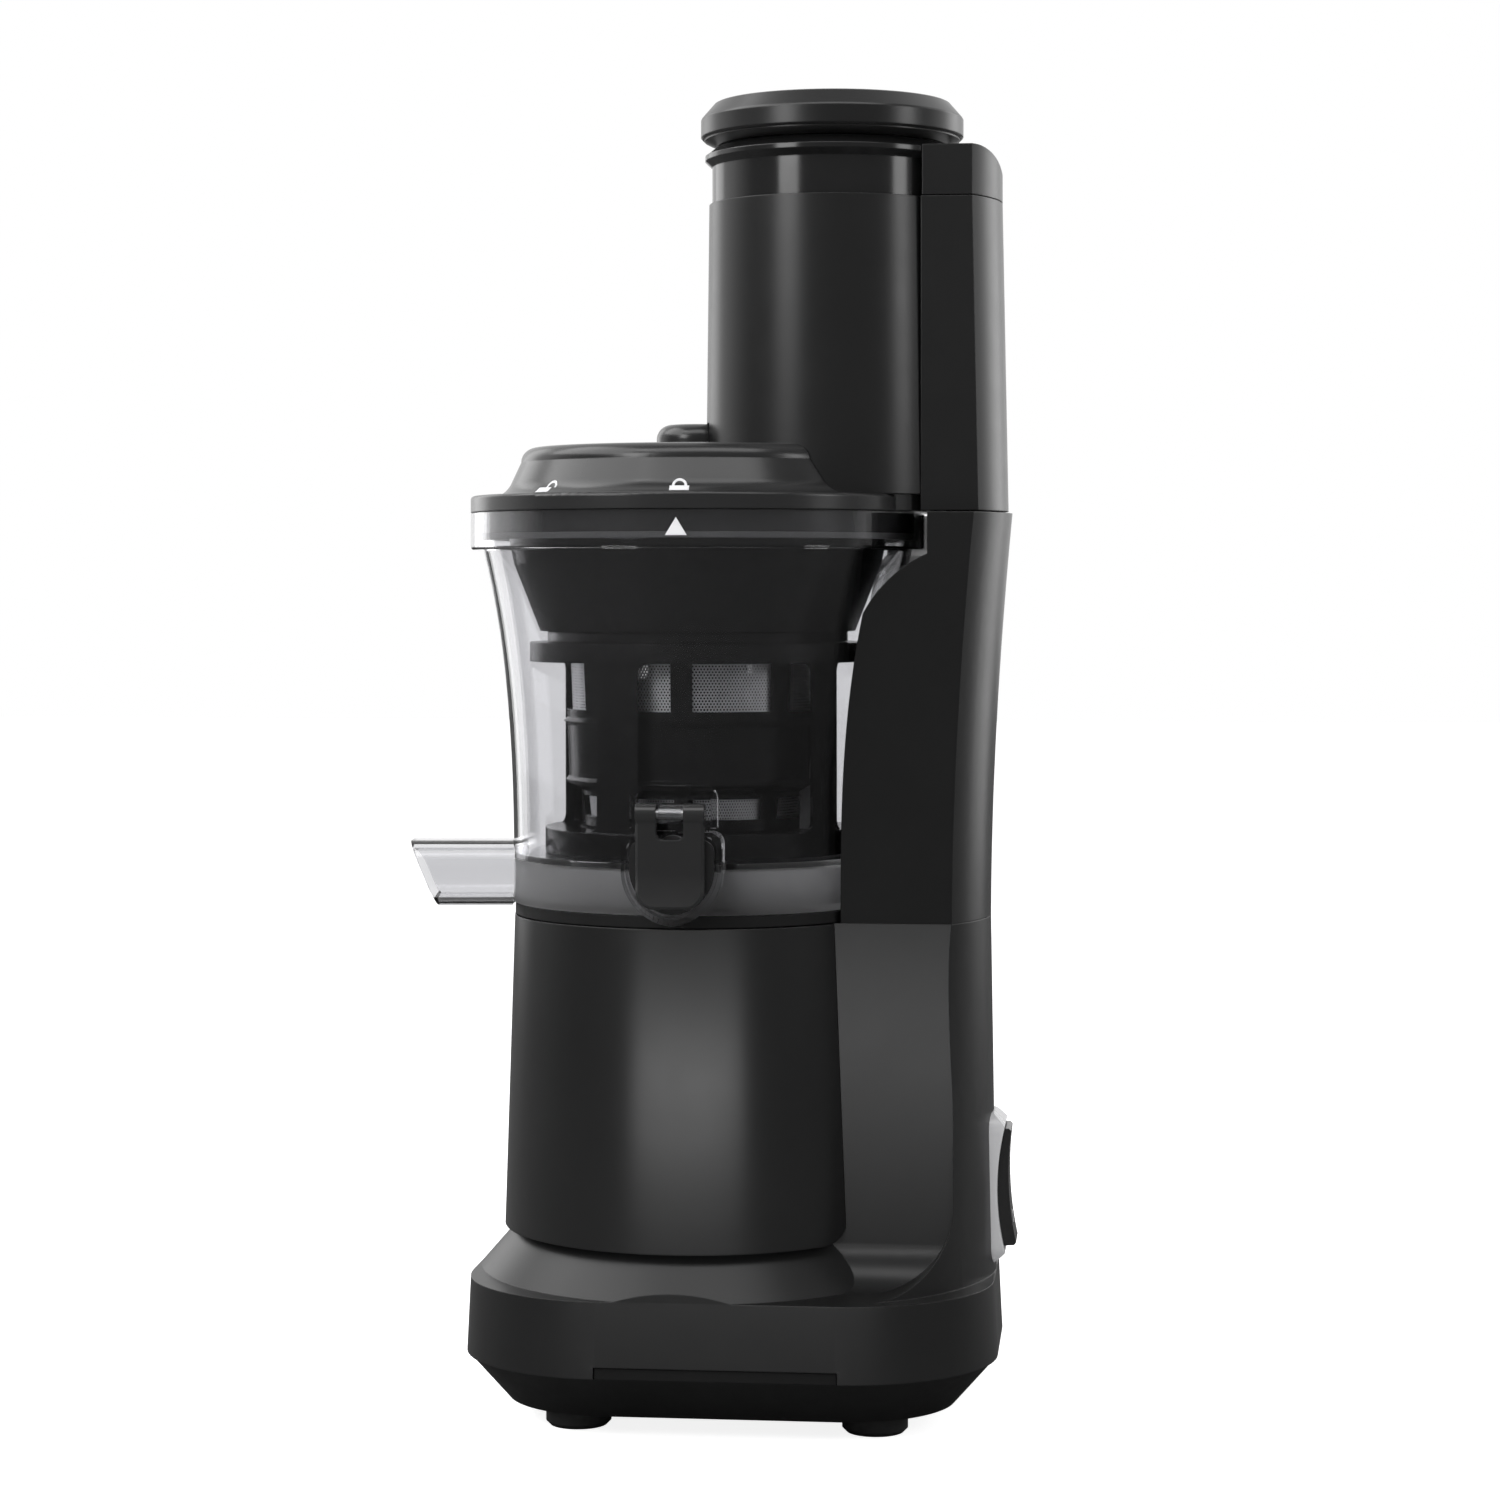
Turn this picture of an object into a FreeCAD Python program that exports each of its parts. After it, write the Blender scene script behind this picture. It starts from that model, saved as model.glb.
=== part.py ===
"""Vertical slow juicer with a wide feed chute, in millimetres.

The drive axis is the vertical line through x = 0, y = 0 while the pieces are made. The column and
the feed chute lie towards +X, the juice tap towards -Y and the pulp spout towards -X. At the end
every piece moves together, so that the origin is under the middle of the whole object, on the table.
"""
import FreeCAD
import Part
import math
import os

# Fits between pieces
RUN_FIT = 0.05
SLIDE_FIT = 0.3
COVER_FIT = 0.2
LIFT_FIT = 0.4
COLUMN_FIT = 1.2
SEAM_GAP = 0.3
SWING_FIT = 1.0
CUT_PAST = 1.0

# Drum on the base, which sets the size of the bowl, the base and the tower
DRUM_TOP_RADIUS = 62.0
DRUM_DRAFT = 3.3
DRUM_WALL = 2.0
DRUM_HEIGHT = 104.7
DRUM_OVERLAP = 1.0
DRUM_CORNER = 7.0
DRUM_BOTTOM_RADIUS = DRUM_TOP_RADIUS + DRUM_DRAFT
CORE_RADIUS = DRUM_TOP_RADIUS - DRUM_WALL

# Base housing, feet and bottom plate
FOOT_HEIGHT = 7.0
FOOT_RADIUS = 10.8
FOOT_STEM_RADIUS = 4.0
FOOT_EDGE = 1.4
FOOT_SIDE_INSET = 39.55
FOOT_FRONT_INSET = 34.0
TRAY_HEIGHT = 15.0
PLATE_TAPER = 14.0
PLATE_THICK = 3.0
PLATE_REVEAL = 0.6
GRIP_HALF_WIDTH = 39.0
GRIP_HEIGHT = 3.6
VENT_WIDTH = 3.0
VENT_LENGTH = 34.0
VENT_PITCH = 7.0
VENTS = 5
SKIRT_HEIGHT = 24.8
SKIRT_DRAFT = 1.2
SKIRT_LEDGE_SIDE = 9.2
SKIRT_LEDGE_FRONT = 6.7
SHOULDER_RISE = 15.2
BASE_CORNER = 50.0
SHELL_WALL = 3.0
DECK_THICK = 5.0
DECK_RIM_HEIGHT = 3.9
DECK_RIM_WALL = 4.0
COVE_RADIUS = 14.0
BASE_LEFT = DRUM_BOTTOM_RADIUS + SKIRT_LEDGE_SIDE
BASE_HALF_DEPTH = DRUM_BOTTOM_RADIUS + SKIRT_LEDGE_FRONT
PLATE_BOTTOM_Z = FOOT_HEIGHT
PLATE_FLOOR_Z = PLATE_BOTTOM_Z + PLATE_THICK
BASE_SEAM_Z = PLATE_BOTTOM_Z + TRAY_HEIGHT
SKIRT_TOP_Z = BASE_SEAM_Z + SKIRT_HEIGHT
SHOULDER_TOP_Z = SKIRT_TOP_Z + SHOULDER_RISE
DRUM_BOTTOM_Z = SHOULDER_TOP_Z - DRUM_OVERLAP
DECK_Z = DRUM_BOTTOM_Z + DRUM_HEIGHT
DECK_RIM_Z = DECK_Z + DECK_RIM_HEIGHT

# Bowl
BOWL_STEP = 0.3
BOWL_FLARE = 10.5
BOWL_FLARE_POWER = 2.8
BOWL_CURVE_STEPS = 6
BOWL_WALL_HEIGHT = 118.5
BOWL_WALL = 2.6
BOWL_FLOOR = 2.2
COLLAR_STEP = 4.2
COLLAR_HEIGHT = 12.2
COLLAR_WALL = 3.0
COLLAR_EDGE = 1.0
PULP_CHAMBER_HEIGHT = 16.5
JUICE_FLOOR_THICK = 2.5
HUB_BORE = 10.0
HUB_WALL = 3.0
SEAL_LIP_RADIUS = 7.0
BOWL_BOTTOM_RADIUS = DRUM_TOP_RADIUS + BOWL_STEP
BOWL_NECK_RADIUS = BOWL_BOTTOM_RADIUS + BOWL_FLARE
COLLAR_RADIUS = BOWL_NECK_RADIUS + COLLAR_STEP
BOWL_BOTTOM_Z = DECK_RIM_Z + LIFT_FIT
BOWL_COLLAR_Z = BOWL_BOTTOM_Z + BOWL_WALL_HEIGHT
BOWL_TOP_Z = BOWL_COLLAR_Z + COLLAR_HEIGHT
JUICE_FLOOR_Z = BOWL_BOTTOM_Z + PULP_CHAMBER_HEIGHT
TRAY_TOP_Z = JUICE_FLOOR_Z - JUICE_FLOOR_THICK

# Pulp spout
SPOUT_ANGLE = 186.0
SPOUT_LENGTH = 34.7
SPOUT_RISE = 9.3
SPOUT_HALF_WIDTH = 12.5
SPOUT_HALF_HEIGHT = 10.9
SPOUT_CORNER = 8.0
SPOUT_WALL = 2.4
SPOUT_CUT = 23.0
PULP_PORT_RADIUS = 6.0
SPOUT_REACH = BOWL_BOTTOM_RADIUS + SPOUT_LENGTH
SPOUT_Z = BOWL_BOTTOM_Z + SPOUT_RISE

# Juice tap
TAP_HALF_WIDTH = 16.1
TAP_PROUD = 8.7
TAP_DEPTH = 6.0
TAP_DROP = 2.7
TAP_RISE = 27.5
TAP_WIDEST_DROP = 9.5
TAP_TOP_CORNER = 4.0
TAP_BULGE = 0.72
TAP_RIM = 1.5
HOOD_WALL = 1.8
TAP_FRAME_HALF_WIDTH = 14.0
TAP_FRAME_HEIGHT = 13.5
TAP_FRAME_STEP = 4.5
OUTLET_RADIUS = 4.0
OUTLET_LIP = 0.4
TAP_SEAL_RADIUS = 5.4
PIN_RADIUS = 1.5
PIN_RISE = 5.9
PIN_DEPTH = 0.9
KNUCKLE_WALL = 1.5
KNUCKLE_HALF_WIDTH = 3.6
LEVER_GAP = 0.6
LEVER_THICK = 3.4
LEVER_HALF_WIDTH = 11.1
LEVER_LENGTH = 30.2
LEVER_EAR_RADIUS = 3.5
LEVER_CORNER = 6.0
LEVER_BEVEL = 0.9
LEVER_KICK = 2.0
LEVER_KICK_HEIGHT = 11.0
FLAP_SET_BACK = 1.0
FLAP_THICK = 2.5
NOTCH_HALF_WIDTH = 4.4
NOTCH_LENGTH = 8.2
TAP_FRONT_Y = BOWL_BOTTOM_RADIUS + TAP_PROUD
TAP_FLOOR_Y = TAP_FRONT_Y - TAP_DEPTH
TAP_FRAME_Y = TAP_FRONT_Y - TAP_FRAME_STEP
LEVER_BACK_Y = TAP_FRONT_Y + LEVER_GAP
LEVER_FRONT_Y = LEVER_BACK_Y + LEVER_THICK
PIN_Y = LEVER_BACK_Y + PIN_DEPTH
TAP_TIP_Z = BOWL_BOTTOM_Z - TAP_DROP
TAP_SIDE_TOP_Z = BOWL_BOTTOM_Z + TAP_RISE
TAP_WIDEST_Z = TAP_SIDE_TOP_Z - TAP_WIDEST_DROP
TAP_FRAME_BOTTOM_Z = TAP_SIDE_TOP_Z + SWING_FIT
TAP_FRAME_TOP_Z = TAP_FRAME_BOTTOM_Z + TAP_FRAME_HEIGHT
OUTLET_Z = JUICE_FLOOR_Z + OUTLET_LIP + OUTLET_RADIUS
PIN_Z = TAP_SIDE_TOP_Z + PIN_RISE
LEVER_BOTTOM_Z = PIN_Z - LEVER_LENGTH
NOTCH_BOTTOM_Z = PIN_Z - NOTCH_LENGTH

# Gear train in the bowl floor
GEAR_MODULE = 1.5
SUN_TEETH = 20
IDLER_TEETH = 14
GEAR_HEIGHT = 6.4
GEAR_BACKLASH = 0.36
ADDENDUM = 0.85
DEDENDUM = 1.2
PRESSURE_ANGLE = 20.0
IDLER_ANGLES = (90.0, 270.0)
IDLER_PIN_RADIUS = 3.0
RING_TEETH = SUN_TEETH + 2 * IDLER_TEETH
GEAR_BOTTOM_Z = JUICE_FLOOR_Z + LIFT_FIT
GEAR_TOP_Z = GEAR_BOTTOM_Z + GEAR_HEIGHT

# Strainer
STRAINER_LIFT = 1.9
STRAINER_FLOOR_THICK = 2.0
STRAINER_WALL = 2.0
STRAINER_LOW_RADIUS = 38.0
STRAINER_STEP_OUT = 5.6
STRAINER_FLARE = 2.0
STRAINER_RIM_OUT = 5.4
STRAINER_LOW_HEIGHT = 14.8
STRAINER_BAND_HEIGHT = 21.0
STRAINER_MESH_HEIGHT = 26.8
STRAINER_RIM_THICK = 3.2
STRAINER_BEAD = 1.2
STRAINER_PANELS = 8
PANEL_RIB_ANGLE = 9.0
MESH_THICK = 0.5
STRAINER_BAND_RADIUS = STRAINER_LOW_RADIUS + STRAINER_STEP_OUT
STRAINER_TOP_RADIUS = STRAINER_BAND_RADIUS + STRAINER_FLARE
STRAINER_RIM_RADIUS = STRAINER_TOP_RADIUS + STRAINER_RIM_OUT
STRAINER_FLOOR_Z = GEAR_TOP_Z + STRAINER_LIFT
STRAINER_STEP_Z = STRAINER_FLOOR_Z + STRAINER_LOW_HEIGHT
STRAINER_BAND_Z = STRAINER_STEP_Z + STRAINER_BAND_HEIGHT
STRAINER_TOP_Z = STRAINER_BAND_Z + STRAINER_MESH_HEIGHT
STRAINER_RIM_Z = STRAINER_TOP_Z + STRAINER_RIM_THICK

# Brush cage
WIPER_ROOM = 1.6
CAGE_ARM_THICK = 2.8
CAGE_ARM_WIDTH = 16.0
CAGE_ARMS = 4
CAGE_ARM_START = -115.0
CAGE_RING_OUT = 7.0
CAGE_RING_HEIGHT = 6.4
CAGE_FOOT_OUT = 1.7
BLADE_THICK = 2.0
BLADE_GAP = 0.5
CAGE_FILLET = 3.5
CAGE_ARM_RADIUS = STRAINER_TOP_RADIUS + WIPER_ROOM + CAGE_ARM_THICK
CAGE_RING_RADIUS = CAGE_ARM_RADIUS + CAGE_RING_OUT
CAGE_FOOT_RADIUS = CAGE_ARM_RADIUS + CAGE_FOOT_OUT
CAGE_FOOT_TOP_Z = STRAINER_FLOOR_Z - COVER_FIT
CAGE_RING_TOP_Z = STRAINER_TOP_Z - SLIDE_FIT
CAGE_RING_BOTTOM_Z = CAGE_RING_TOP_Z - CAGE_RING_HEIGHT

# Auger
HUB_OVER_GEAR = 0.925
AUGER_PRESS_GAP = 12.0
AUGER_CORE_TOP_RADIUS = 9.0
AUGER_OVER_STRAINER = 25.0
AUGER_PIN_RADIUS = 3.0
AUGER_PIN_LENGTH = 20.0
FLIGHT_PITCH = 64.0
FLIGHT_THICK = 4.5
FLIGHT_STARTS = 2
FLIGHT_GAP = 1.0
FLIGHT_LIFT = 1.8
FLIGHT_OVER_STRAINER = 15.0
AUGER_HUB_RADIUS = GEAR_MODULE * (SUN_TEETH / 2 + ADDENDUM) + HUB_OVER_GEAR
AUGER_CORE_LOW_RADIUS = STRAINER_LOW_RADIUS - AUGER_PRESS_GAP
AUGER_TOP_Z = STRAINER_RIM_Z + AUGER_OVER_STRAINER
AUGER_PIN_TOP_Z = AUGER_TOP_Z + AUGER_PIN_LENGTH
FLIGHT_BOTTOM_Z = STRAINER_FLOOR_Z + STRAINER_FLOOR_THICK + FLIGHT_LIFT
FLIGHT_TOP_Z = STRAINER_RIM_Z + FLIGHT_OVER_STRAINER
PULP_PORT_REACH = AUGER_HUB_RADIUS + LIFT_FIT + PULP_PORT_RADIUS + LIFT_FIT

# Lid and hopper
LID_FLANGE_THICK = 5.5
LID_DOME_HEIGHT = 16.4
LID_FOOT_INSET = 9.0
LID_SLOPE_WIDTH = 13.0
LID_EDGE_RADIUS = 5.0
FLANGE_EDGE = 1.2
LID_SWEEP = 1.7
LID_WALL = 3.0
LID_SKIRT_WALL = 2.8
LID_STEP_X = 40.0
LID_STEP_RISE = 3.4
LID_STEP_RADIUS = 24.0
GASKET_THICK = 2.0
BOSS_RADIUS = 14.0
BOSS_HEIGHT = 8.0
BUSH_RADIUS = 5.0
HOPPER_WALL = 2.2
HOPPER_NECK_INSET = 6.8
HOPPER_SLOPE = 3.6
HOPPER_SLOPE_HEIGHT = 17.1
HOPPER_RIM_OUT = 2.5
LID_FLANGE_Z = BOWL_TOP_Z + LIFT_FIT
LID_FLANGE_TOP_Z = LID_FLANGE_Z + LID_FLANGE_THICK
LID_TOP_Z = LID_FLANGE_TOP_Z + LID_DOME_HEIGHT
LID_STEP_Z = LID_FLANGE_TOP_Z + LID_STEP_RISE
LID_FOOT_RADIUS = COLLAR_RADIUS - LID_FOOT_INSET
LID_PLATEAU_RADIUS = LID_FOOT_RADIUS - LID_SLOPE_WIDTH
BOSS_TOP_Z = LID_TOP_Z + BOSS_HEIGHT
BUSH_TOP_Z = BOSS_TOP_Z - LID_EDGE_RADIUS
HOPPER_TOP_RADIUS = BOWL_NECK_RADIUS - HOPPER_NECK_INSET
HOPPER_MID_RADIUS = HOPPER_TOP_RADIUS - HOPPER_SLOPE
HOPPER_MID_Z = LID_FLANGE_Z - HOPPER_SLOPE_HEIGHT
HOPPER_LOW_RADIUS = STRAINER_RIM_RADIUS + HOPPER_RIM_OUT

# Feed chute and pusher
CHUTE_BORE = 38.0
CHUTE_WALL = 2.6
SLEEVE_LENGTH = 98.4
SLEEVE_TOP_WALL = 1.0
SLEEVE_LOW_WALL = 2.1
CHUTE_NECK = 19.4
LIP_OUT = 2.4
LIP_HEIGHT = 6.8
LIP_LAND = 1.0
LIP_SLOPE = 3.0
LIP_EDGE = 1.6
PUSHER_CAP_OUT = 1.4
PUSHER_CAP_HEIGHT = 14.5
PUSHER_LENGTH = 93.4
PUSHER_BARREL_WALL = 2.4
PUSHER_FIT = 0.6
PUSHER_TOP_BEVEL = 4.4
PUSHER_TOP_RISE = 5.0
PUSHER_BAND = 6.9
PUSHER_EDGE = 0.6
PUSHER_FOOT_INSET = 5.4
PUSHER_PLUG_DEPTH = 10.0
PUSHER_SEAL_DEPTH = 1.5
PUSHER_SEAL_HEIGHT = 4.0
PUSHER_SEAL_RISE = 6.0
CHUTE_RADIUS = CHUTE_BORE + CHUTE_WALL
CHUTE_X = BUSH_RADIUS + COVER_FIT + CHUTE_RADIUS
SLEEVE_TOP_RADIUS = CHUTE_RADIUS + SLEEVE_TOP_WALL
SLEEVE_LOW_RADIUS = CHUTE_RADIUS + SLEEVE_LOW_WALL
LIP_RADIUS = CHUTE_RADIUS + LIP_OUT
PUSHER_CAP_RADIUS = LIP_RADIUS + PUSHER_CAP_OUT
SLEEVE_TOP_Z = LID_FLANGE_TOP_Z + SLEEVE_LENGTH
CHUTE_TOP_Z = SLEEVE_TOP_Z + CHUTE_NECK
LIP_BOTTOM_Z = CHUTE_TOP_Z - LIP_HEIGHT
PUSHER_SEAT_Z = CHUTE_TOP_Z + SLIDE_FIT
PUSHER_TOP_Z = PUSHER_SEAT_Z + PUSHER_CAP_HEIGHT
PUSHER_BOTTOM_Z = CHUTE_TOP_Z - PUSHER_LENGTH

# Tower and column on the right
TOWER_HALF_WIDTH = 37.0
TOWER_LEFT = 30.0
TOWER_CLEARANCE = 22.5
TOWER_FOOT_OUT = 3.1
CREASE_INSET = 11.5
SCOOP_EDGE_INSET = 11.0
SCOOP_CORNER = 26.0
COLUMN_LEFT = 45.0
COLUMN_TOP_DEPTH = 26.7
COLUMN_OVER_SPINE = 1.3
COLUMN_SWEEP_POWER = 1.8
COLUMN_SECTIONS = 5
COLUMN_NOTCH_GAP = 3.0
COLUMN_NOTCH_DROP = 1.5
FLARE_HEIGHT = 36.0
FLARE_WIDTH = 26.0
FLARE_MID_DROP = 14.0
FLARE_MID_INSET = 17.5
SENSOR_SIZE = 10.0
TOWER_RIGHT = COLLAR_RADIUS + TOWER_CLEARANCE
BASE_RIGHT = TOWER_RIGHT + TOWER_FOOT_OUT
SCOOP_EDGE_X = TOWER_RIGHT - SCOOP_EDGE_INSET
COLUMN_TOP_Z = BOWL_TOP_Z
COLUMN_NOTCH_X = COLLAR_RADIUS + COLUMN_NOTCH_GAP
COLUMN_TOP_RIGHT = COLUMN_NOTCH_X + COLUMN_TOP_DEPTH
COLUMN_NOTCH_Z = BOWL_COLLAR_Z - COLUMN_NOTCH_DROP
FLARE_START_X = COLUMN_NOTCH_X - FLARE_WIDTH
FLARE_START_Z = COLUMN_NOTCH_Z - FLARE_HEIGHT
FLARE_MID_X = COLUMN_NOTCH_X - FLARE_MID_INSET
FLARE_MID_Z = COLUMN_NOTCH_Z - FLARE_MID_DROP

# Spine that carries the chute over the column
SPINE_HALF_WIDTH = 29.0
SPINE_DRAFT = 2.0
SPINE_CREASE_INSET = 9.0
SPINE_GAP = 0.6
SPINE_WALL = 2.6
SPINE_CAP_DROP = 2.4
SPINE_CAP_CORNER = 8.0
MAGNET_INSET = 8.9
MAGNET_RADIUS = 4.0
MAGNET_HEIGHT = 3.0
SPINE_RIGHT_LOW = COLUMN_TOP_RIGHT - COLUMN_OVER_SPINE
SPINE_RIGHT_TOP = SPINE_RIGHT_LOW - SPINE_DRAFT
SPINE_CAP_TOP_Z = CHUTE_TOP_Z - SPINE_CAP_DROP
MAGNET_X = SPINE_RIGHT_LOW - MAGNET_INSET

# Motor, gearbox and drive shaft
DAMPER_RADIUS = 34.0
DAMPER_BORE = 24.0
DAMPER_HEIGHT = 16.0
MOTOR_RADIUS = 44.0
MOTOR_HEIGHT = 66.0
MOTOR_EDGE = 3.0
GEARBOX_RADIUS = 50.0
GEARBOX_DROP = 8.7
GEARBOX_LIP = 3.0
BEARING_RADIUS = 13.0
BEARING_HEIGHT = 8.0
BEARING_DROP = 9.0
BEARING_SPACING = 18.0
SHAFT_RADIUS = 6.0
SHAFT_COLLAR_RADIUS = 9.0
SEAL_RADIUS = 10.0
SEAL_WALL = 6.0
HEX_FLATS = 10.0
HEX_LENGTH = 19.0
HEX_RISE = 1.0
MOTOR_BOTTOM_Z = PLATE_FLOOR_Z + DAMPER_HEIGHT
MOTOR_TOP_Z = MOTOR_BOTTOM_Z + MOTOR_HEIGHT
DECK_LOW_Z = DECK_Z - DECK_THICK
GEARBOX_TOP_Z = DECK_LOW_Z - GEARBOX_DROP
HIGH_BEARING_Z = GEARBOX_TOP_Z - BEARING_DROP
LOW_BEARING_Z = HIGH_BEARING_Z - BEARING_SPACING
GEARBOX_SPLIT_Z = HIGH_BEARING_Z - GEARBOX_LIP
HEX_BOTTOM_Z = BOWL_BOTTOM_Z + HEX_RISE
HEX_TOP_Z = HEX_BOTTOM_Z + HEX_LENGTH

# Control board
BOARD_INSET = 12.6
BOARD_LENGTH = 32.0
BOARD_HALF_WIDTH = 26.0
BOARD_LIFT = 6.0
BOARD_THICK = 1.6
STANDOFF_RADIUS = 2.5
BOARD_EDGE = 5.0
RELAY_LENGTH = 15.0
RELAY_HALF_WIDTH = 10.0
RELAY_HEIGHT = 10.0
CAPACITOR_RADIUS = 5.0
CAPACITOR_HEIGHT = 20.0
BOARD_RIGHT = BASE_RIGHT - BOARD_INSET
BOARD_LEFT = BOARD_RIGHT - BOARD_LENGTH
BOARD_Z = PLATE_FLOOR_Z + BOARD_LIFT

# Cord inlet in the back of the skirt
GLAND_RADIUS = 7.0
GLAND_FLANGE_RADIUS = 9.5
GLAND_FLANGE = 2.5
GLAND_BORE = 4.0
GLAND_LENGTH = 6.0
GLAND_X = BASE_RIGHT - BASE_CORNER - GLAND_FLANGE_RADIUS
GLAND_Z = (BASE_SEAM_Z + SKIRT_TOP_Z) / 2

# Power switch on the +X side
SWITCH_RISE = 28.2
ROCKER_HALF_WIDTH = 9.0
ROCKER_HALF_HEIGHT = 19.5
ROCKER_PROUD = 7.9
ROCKER_REST_TILT = 2.5
ROCKER_DISH = 1.6
ROCKER_EDGE = 0.8
ROCKER_ROOT_DEPTH = 3.2
ROCKER_ROOT_HALF = 4.9
TRUNNION_RADIUS = 1.6
PIVOT_INSET = 3.5
SWITCH_DEPTH = 12.0
SWITCH_WALL = 1.6
SWITCH_GAP = 1.1
BEZEL_SIDE = 4.0
BEZEL_END = 5.5
BEZEL_PROUD = 5.1
BEZEL_SEAT = 1.1
BEZEL_DISH = 2.6
BEZEL_CHAMFER = 3.8
BEZEL_CORNER = 6.0
SWITCH_Z = SKIRT_TOP_Z + SWITCH_RISE
SWITCH_PIVOT_X = TOWER_RIGHT - PIVOT_INSET
SWITCH_BACK_X = SWITCH_PIVOT_X - SWITCH_DEPTH
ROCKER_OUT_X = TOWER_RIGHT + ROCKER_PROUD
BEZEL_OUT_X = TOWER_RIGHT + BEZEL_PROUD
BEZEL_BACK_X = TOWER_RIGHT - BEZEL_SEAT
BEZEL_HALF_WIDTH = ROCKER_HALF_WIDTH + BEZEL_SIDE
BEZEL_HALF_HEIGHT = ROCKER_HALF_HEIGHT + BEZEL_END

V = FreeCAD.Vector
UP = V(0, 0, 1)
pieces = {}


def bend(radius):
    """How far the middle of a rounded corner stands in from each of its two sides."""
    return radius * (1 - math.sqrt(0.5))


def wire_of(points):
    """Closed wire through points; a point given as (via, end) makes an arc."""
    edges = []
    here = points[0]
    for step in list(points[1:]) + [points[0]]:
        if isinstance(step, tuple):
            via, end = step
            edges.append(Part.Arc(here, via, end).toShape())
        else:
            end = step
            if (end - here).Length < 1e-6:
                continue
            edges.append(Part.LineSegment(here, end).toShape())
        here = end
    return Part.Wire(edges)


def turned(profile, x=0.0, y=0.0):
    """Solid turned about the vertical line at x, y from (radius, z) points; ((via), (end)) is an arc."""
    steps = []
    for step in profile:
        if isinstance(step[0], tuple):
            steps.append(tuple(V(r, 0, z) for r, z in step))
        else:
            steps.append(V(step[0], 0, step[1]))
    face = Part.Face(wire_of(steps))
    solid = face.revolve(V(0, 0, 0), UP, 360)
    solid.translate(V(x, y, 0))
    return solid


def rod(radius, z0, z1, x=0.0, y=0.0):
    return Part.makeCylinder(radius, z1 - z0, V(x, y, z0))


def tube(outer, inner, z0, z1, x=0.0, y=0.0):
    return rod(outer, z0, z1, x, y).cut(rod(inner, z0, z1, x, y))


def block(x0, x1, y0, y1, z0, z1):
    return Part.makeBox(x1 - x0, y1 - y0, z1 - z0, V(x0, y0, z0))


def about_axis(shape, angle):
    turned_copy = shape.copy()
    turned_copy.rotate(V(0, 0, 0), UP, angle)
    return turned_copy


def prism_along_y(points, y0, y1):
    """Solid between two y planes from an outline of (x, z) steps."""
    steps = []
    for step in points:
        if isinstance(step[0], tuple):
            steps.append(tuple(V(x, y0, z) for x, z in step))
        else:
            steps.append(V(step[0], y0, step[1]))
    return Part.Face(wire_of(steps)).extrude(V(0, y1 - y0, 0))


def rounded_plan(x0, x1, half_depth, corner, z):
    """Rounded rectangle in plan at height z, as a wire."""
    b = bend(corner)
    y1 = half_depth
    return wire_of([
        V(x0 + corner, -y1, z),
        V(x1 - corner, -y1, z),
        (V(x1 - b, -y1 + b, z), V(x1, -y1 + corner, z)),
        V(x1, y1 - corner, z),
        (V(x1 - b, y1 - b, z), V(x1 - corner, y1, z)),
        V(x0 + corner, y1, z),
        (V(x0 + b, y1 - b, z), V(x0, y1 - corner, z)),
        V(x0, -y1 + corner, z),
        (V(x0 + b, -y1 + b, z), V(x0 + corner, -y1, z)),
    ])


def bowed_plan(x0, crease, right, half_width, z):
    """Plan with two flat sides and a bowed right-hand end, as a wire."""
    return wire_of([
        V(x0, -half_width, z),
        V(crease, -half_width, z),
        (V(right, 0, z), V(crease, half_width, z)),
        V(x0, half_width, z),
    ])


def loft(wires, ruled=True):
    return Part.makeLoft(wires, True, ruled)


def polar(radius, angle, z=0.0):
    a = math.radians(angle)
    return V(radius * math.cos(a), radius * math.sin(a), z)


def keep(name, *solids):
    """Put the finished solids of one piece, or of one group of like pieces, under its name."""
    parts = []
    for shape in solids:
        parts.extend(shape.Solids)
    pieces[name] = parts[0] if len(parts) == 1 else Part.makeCompound(parts)


def mirrored(shape):
    """Copy on the other side of the plane y = 0."""
    return shape.mirror(V(0, 0, 0), V(0, 1, 0))


def prism_along_x(points, x0, x1):
    """Solid between two x planes from an outline of (y, z) steps."""
    steps = []
    for step in points:
        if isinstance(step[0], tuple):
            steps.append(tuple(V(x0, y, z) for y, z in step))
        else:
            steps.append(V(x0, step[0], step[1]))
    return Part.Face(wire_of(steps)).extrude(V(x1 - x0, 0, 0))


# Base: housing, drum cover, column, bottom plate and feet

def skirt_plan(z, inset=0.0):
    return rounded_plan(-BASE_LEFT + inset, BASE_RIGHT - inset, BASE_HALF_DEPTH - inset,
                        BASE_CORNER - inset, z)


def tower_plan(z, inset=0.0):
    return bowed_plan(TOWER_LEFT, TOWER_RIGHT - CREASE_INSET - inset / 2, TOWER_RIGHT - inset,
                      TOWER_HALF_WIDTH - inset, z)


def tower_flank():
    """Right-hand wall that narrows from the skirt to the tower."""
    low_crease = BASE_RIGHT - BASE_CORNER
    low_half = BASE_HALF_DEPTH - SKIRT_DRAFT
    low = bowed_plan(TOWER_LEFT, low_crease, BASE_RIGHT - SKIRT_DRAFT, low_half, SKIRT_TOP_Z - SKIRT_DRAFT)
    return loft([low, tower_plan(DECK_Z)])


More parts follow.
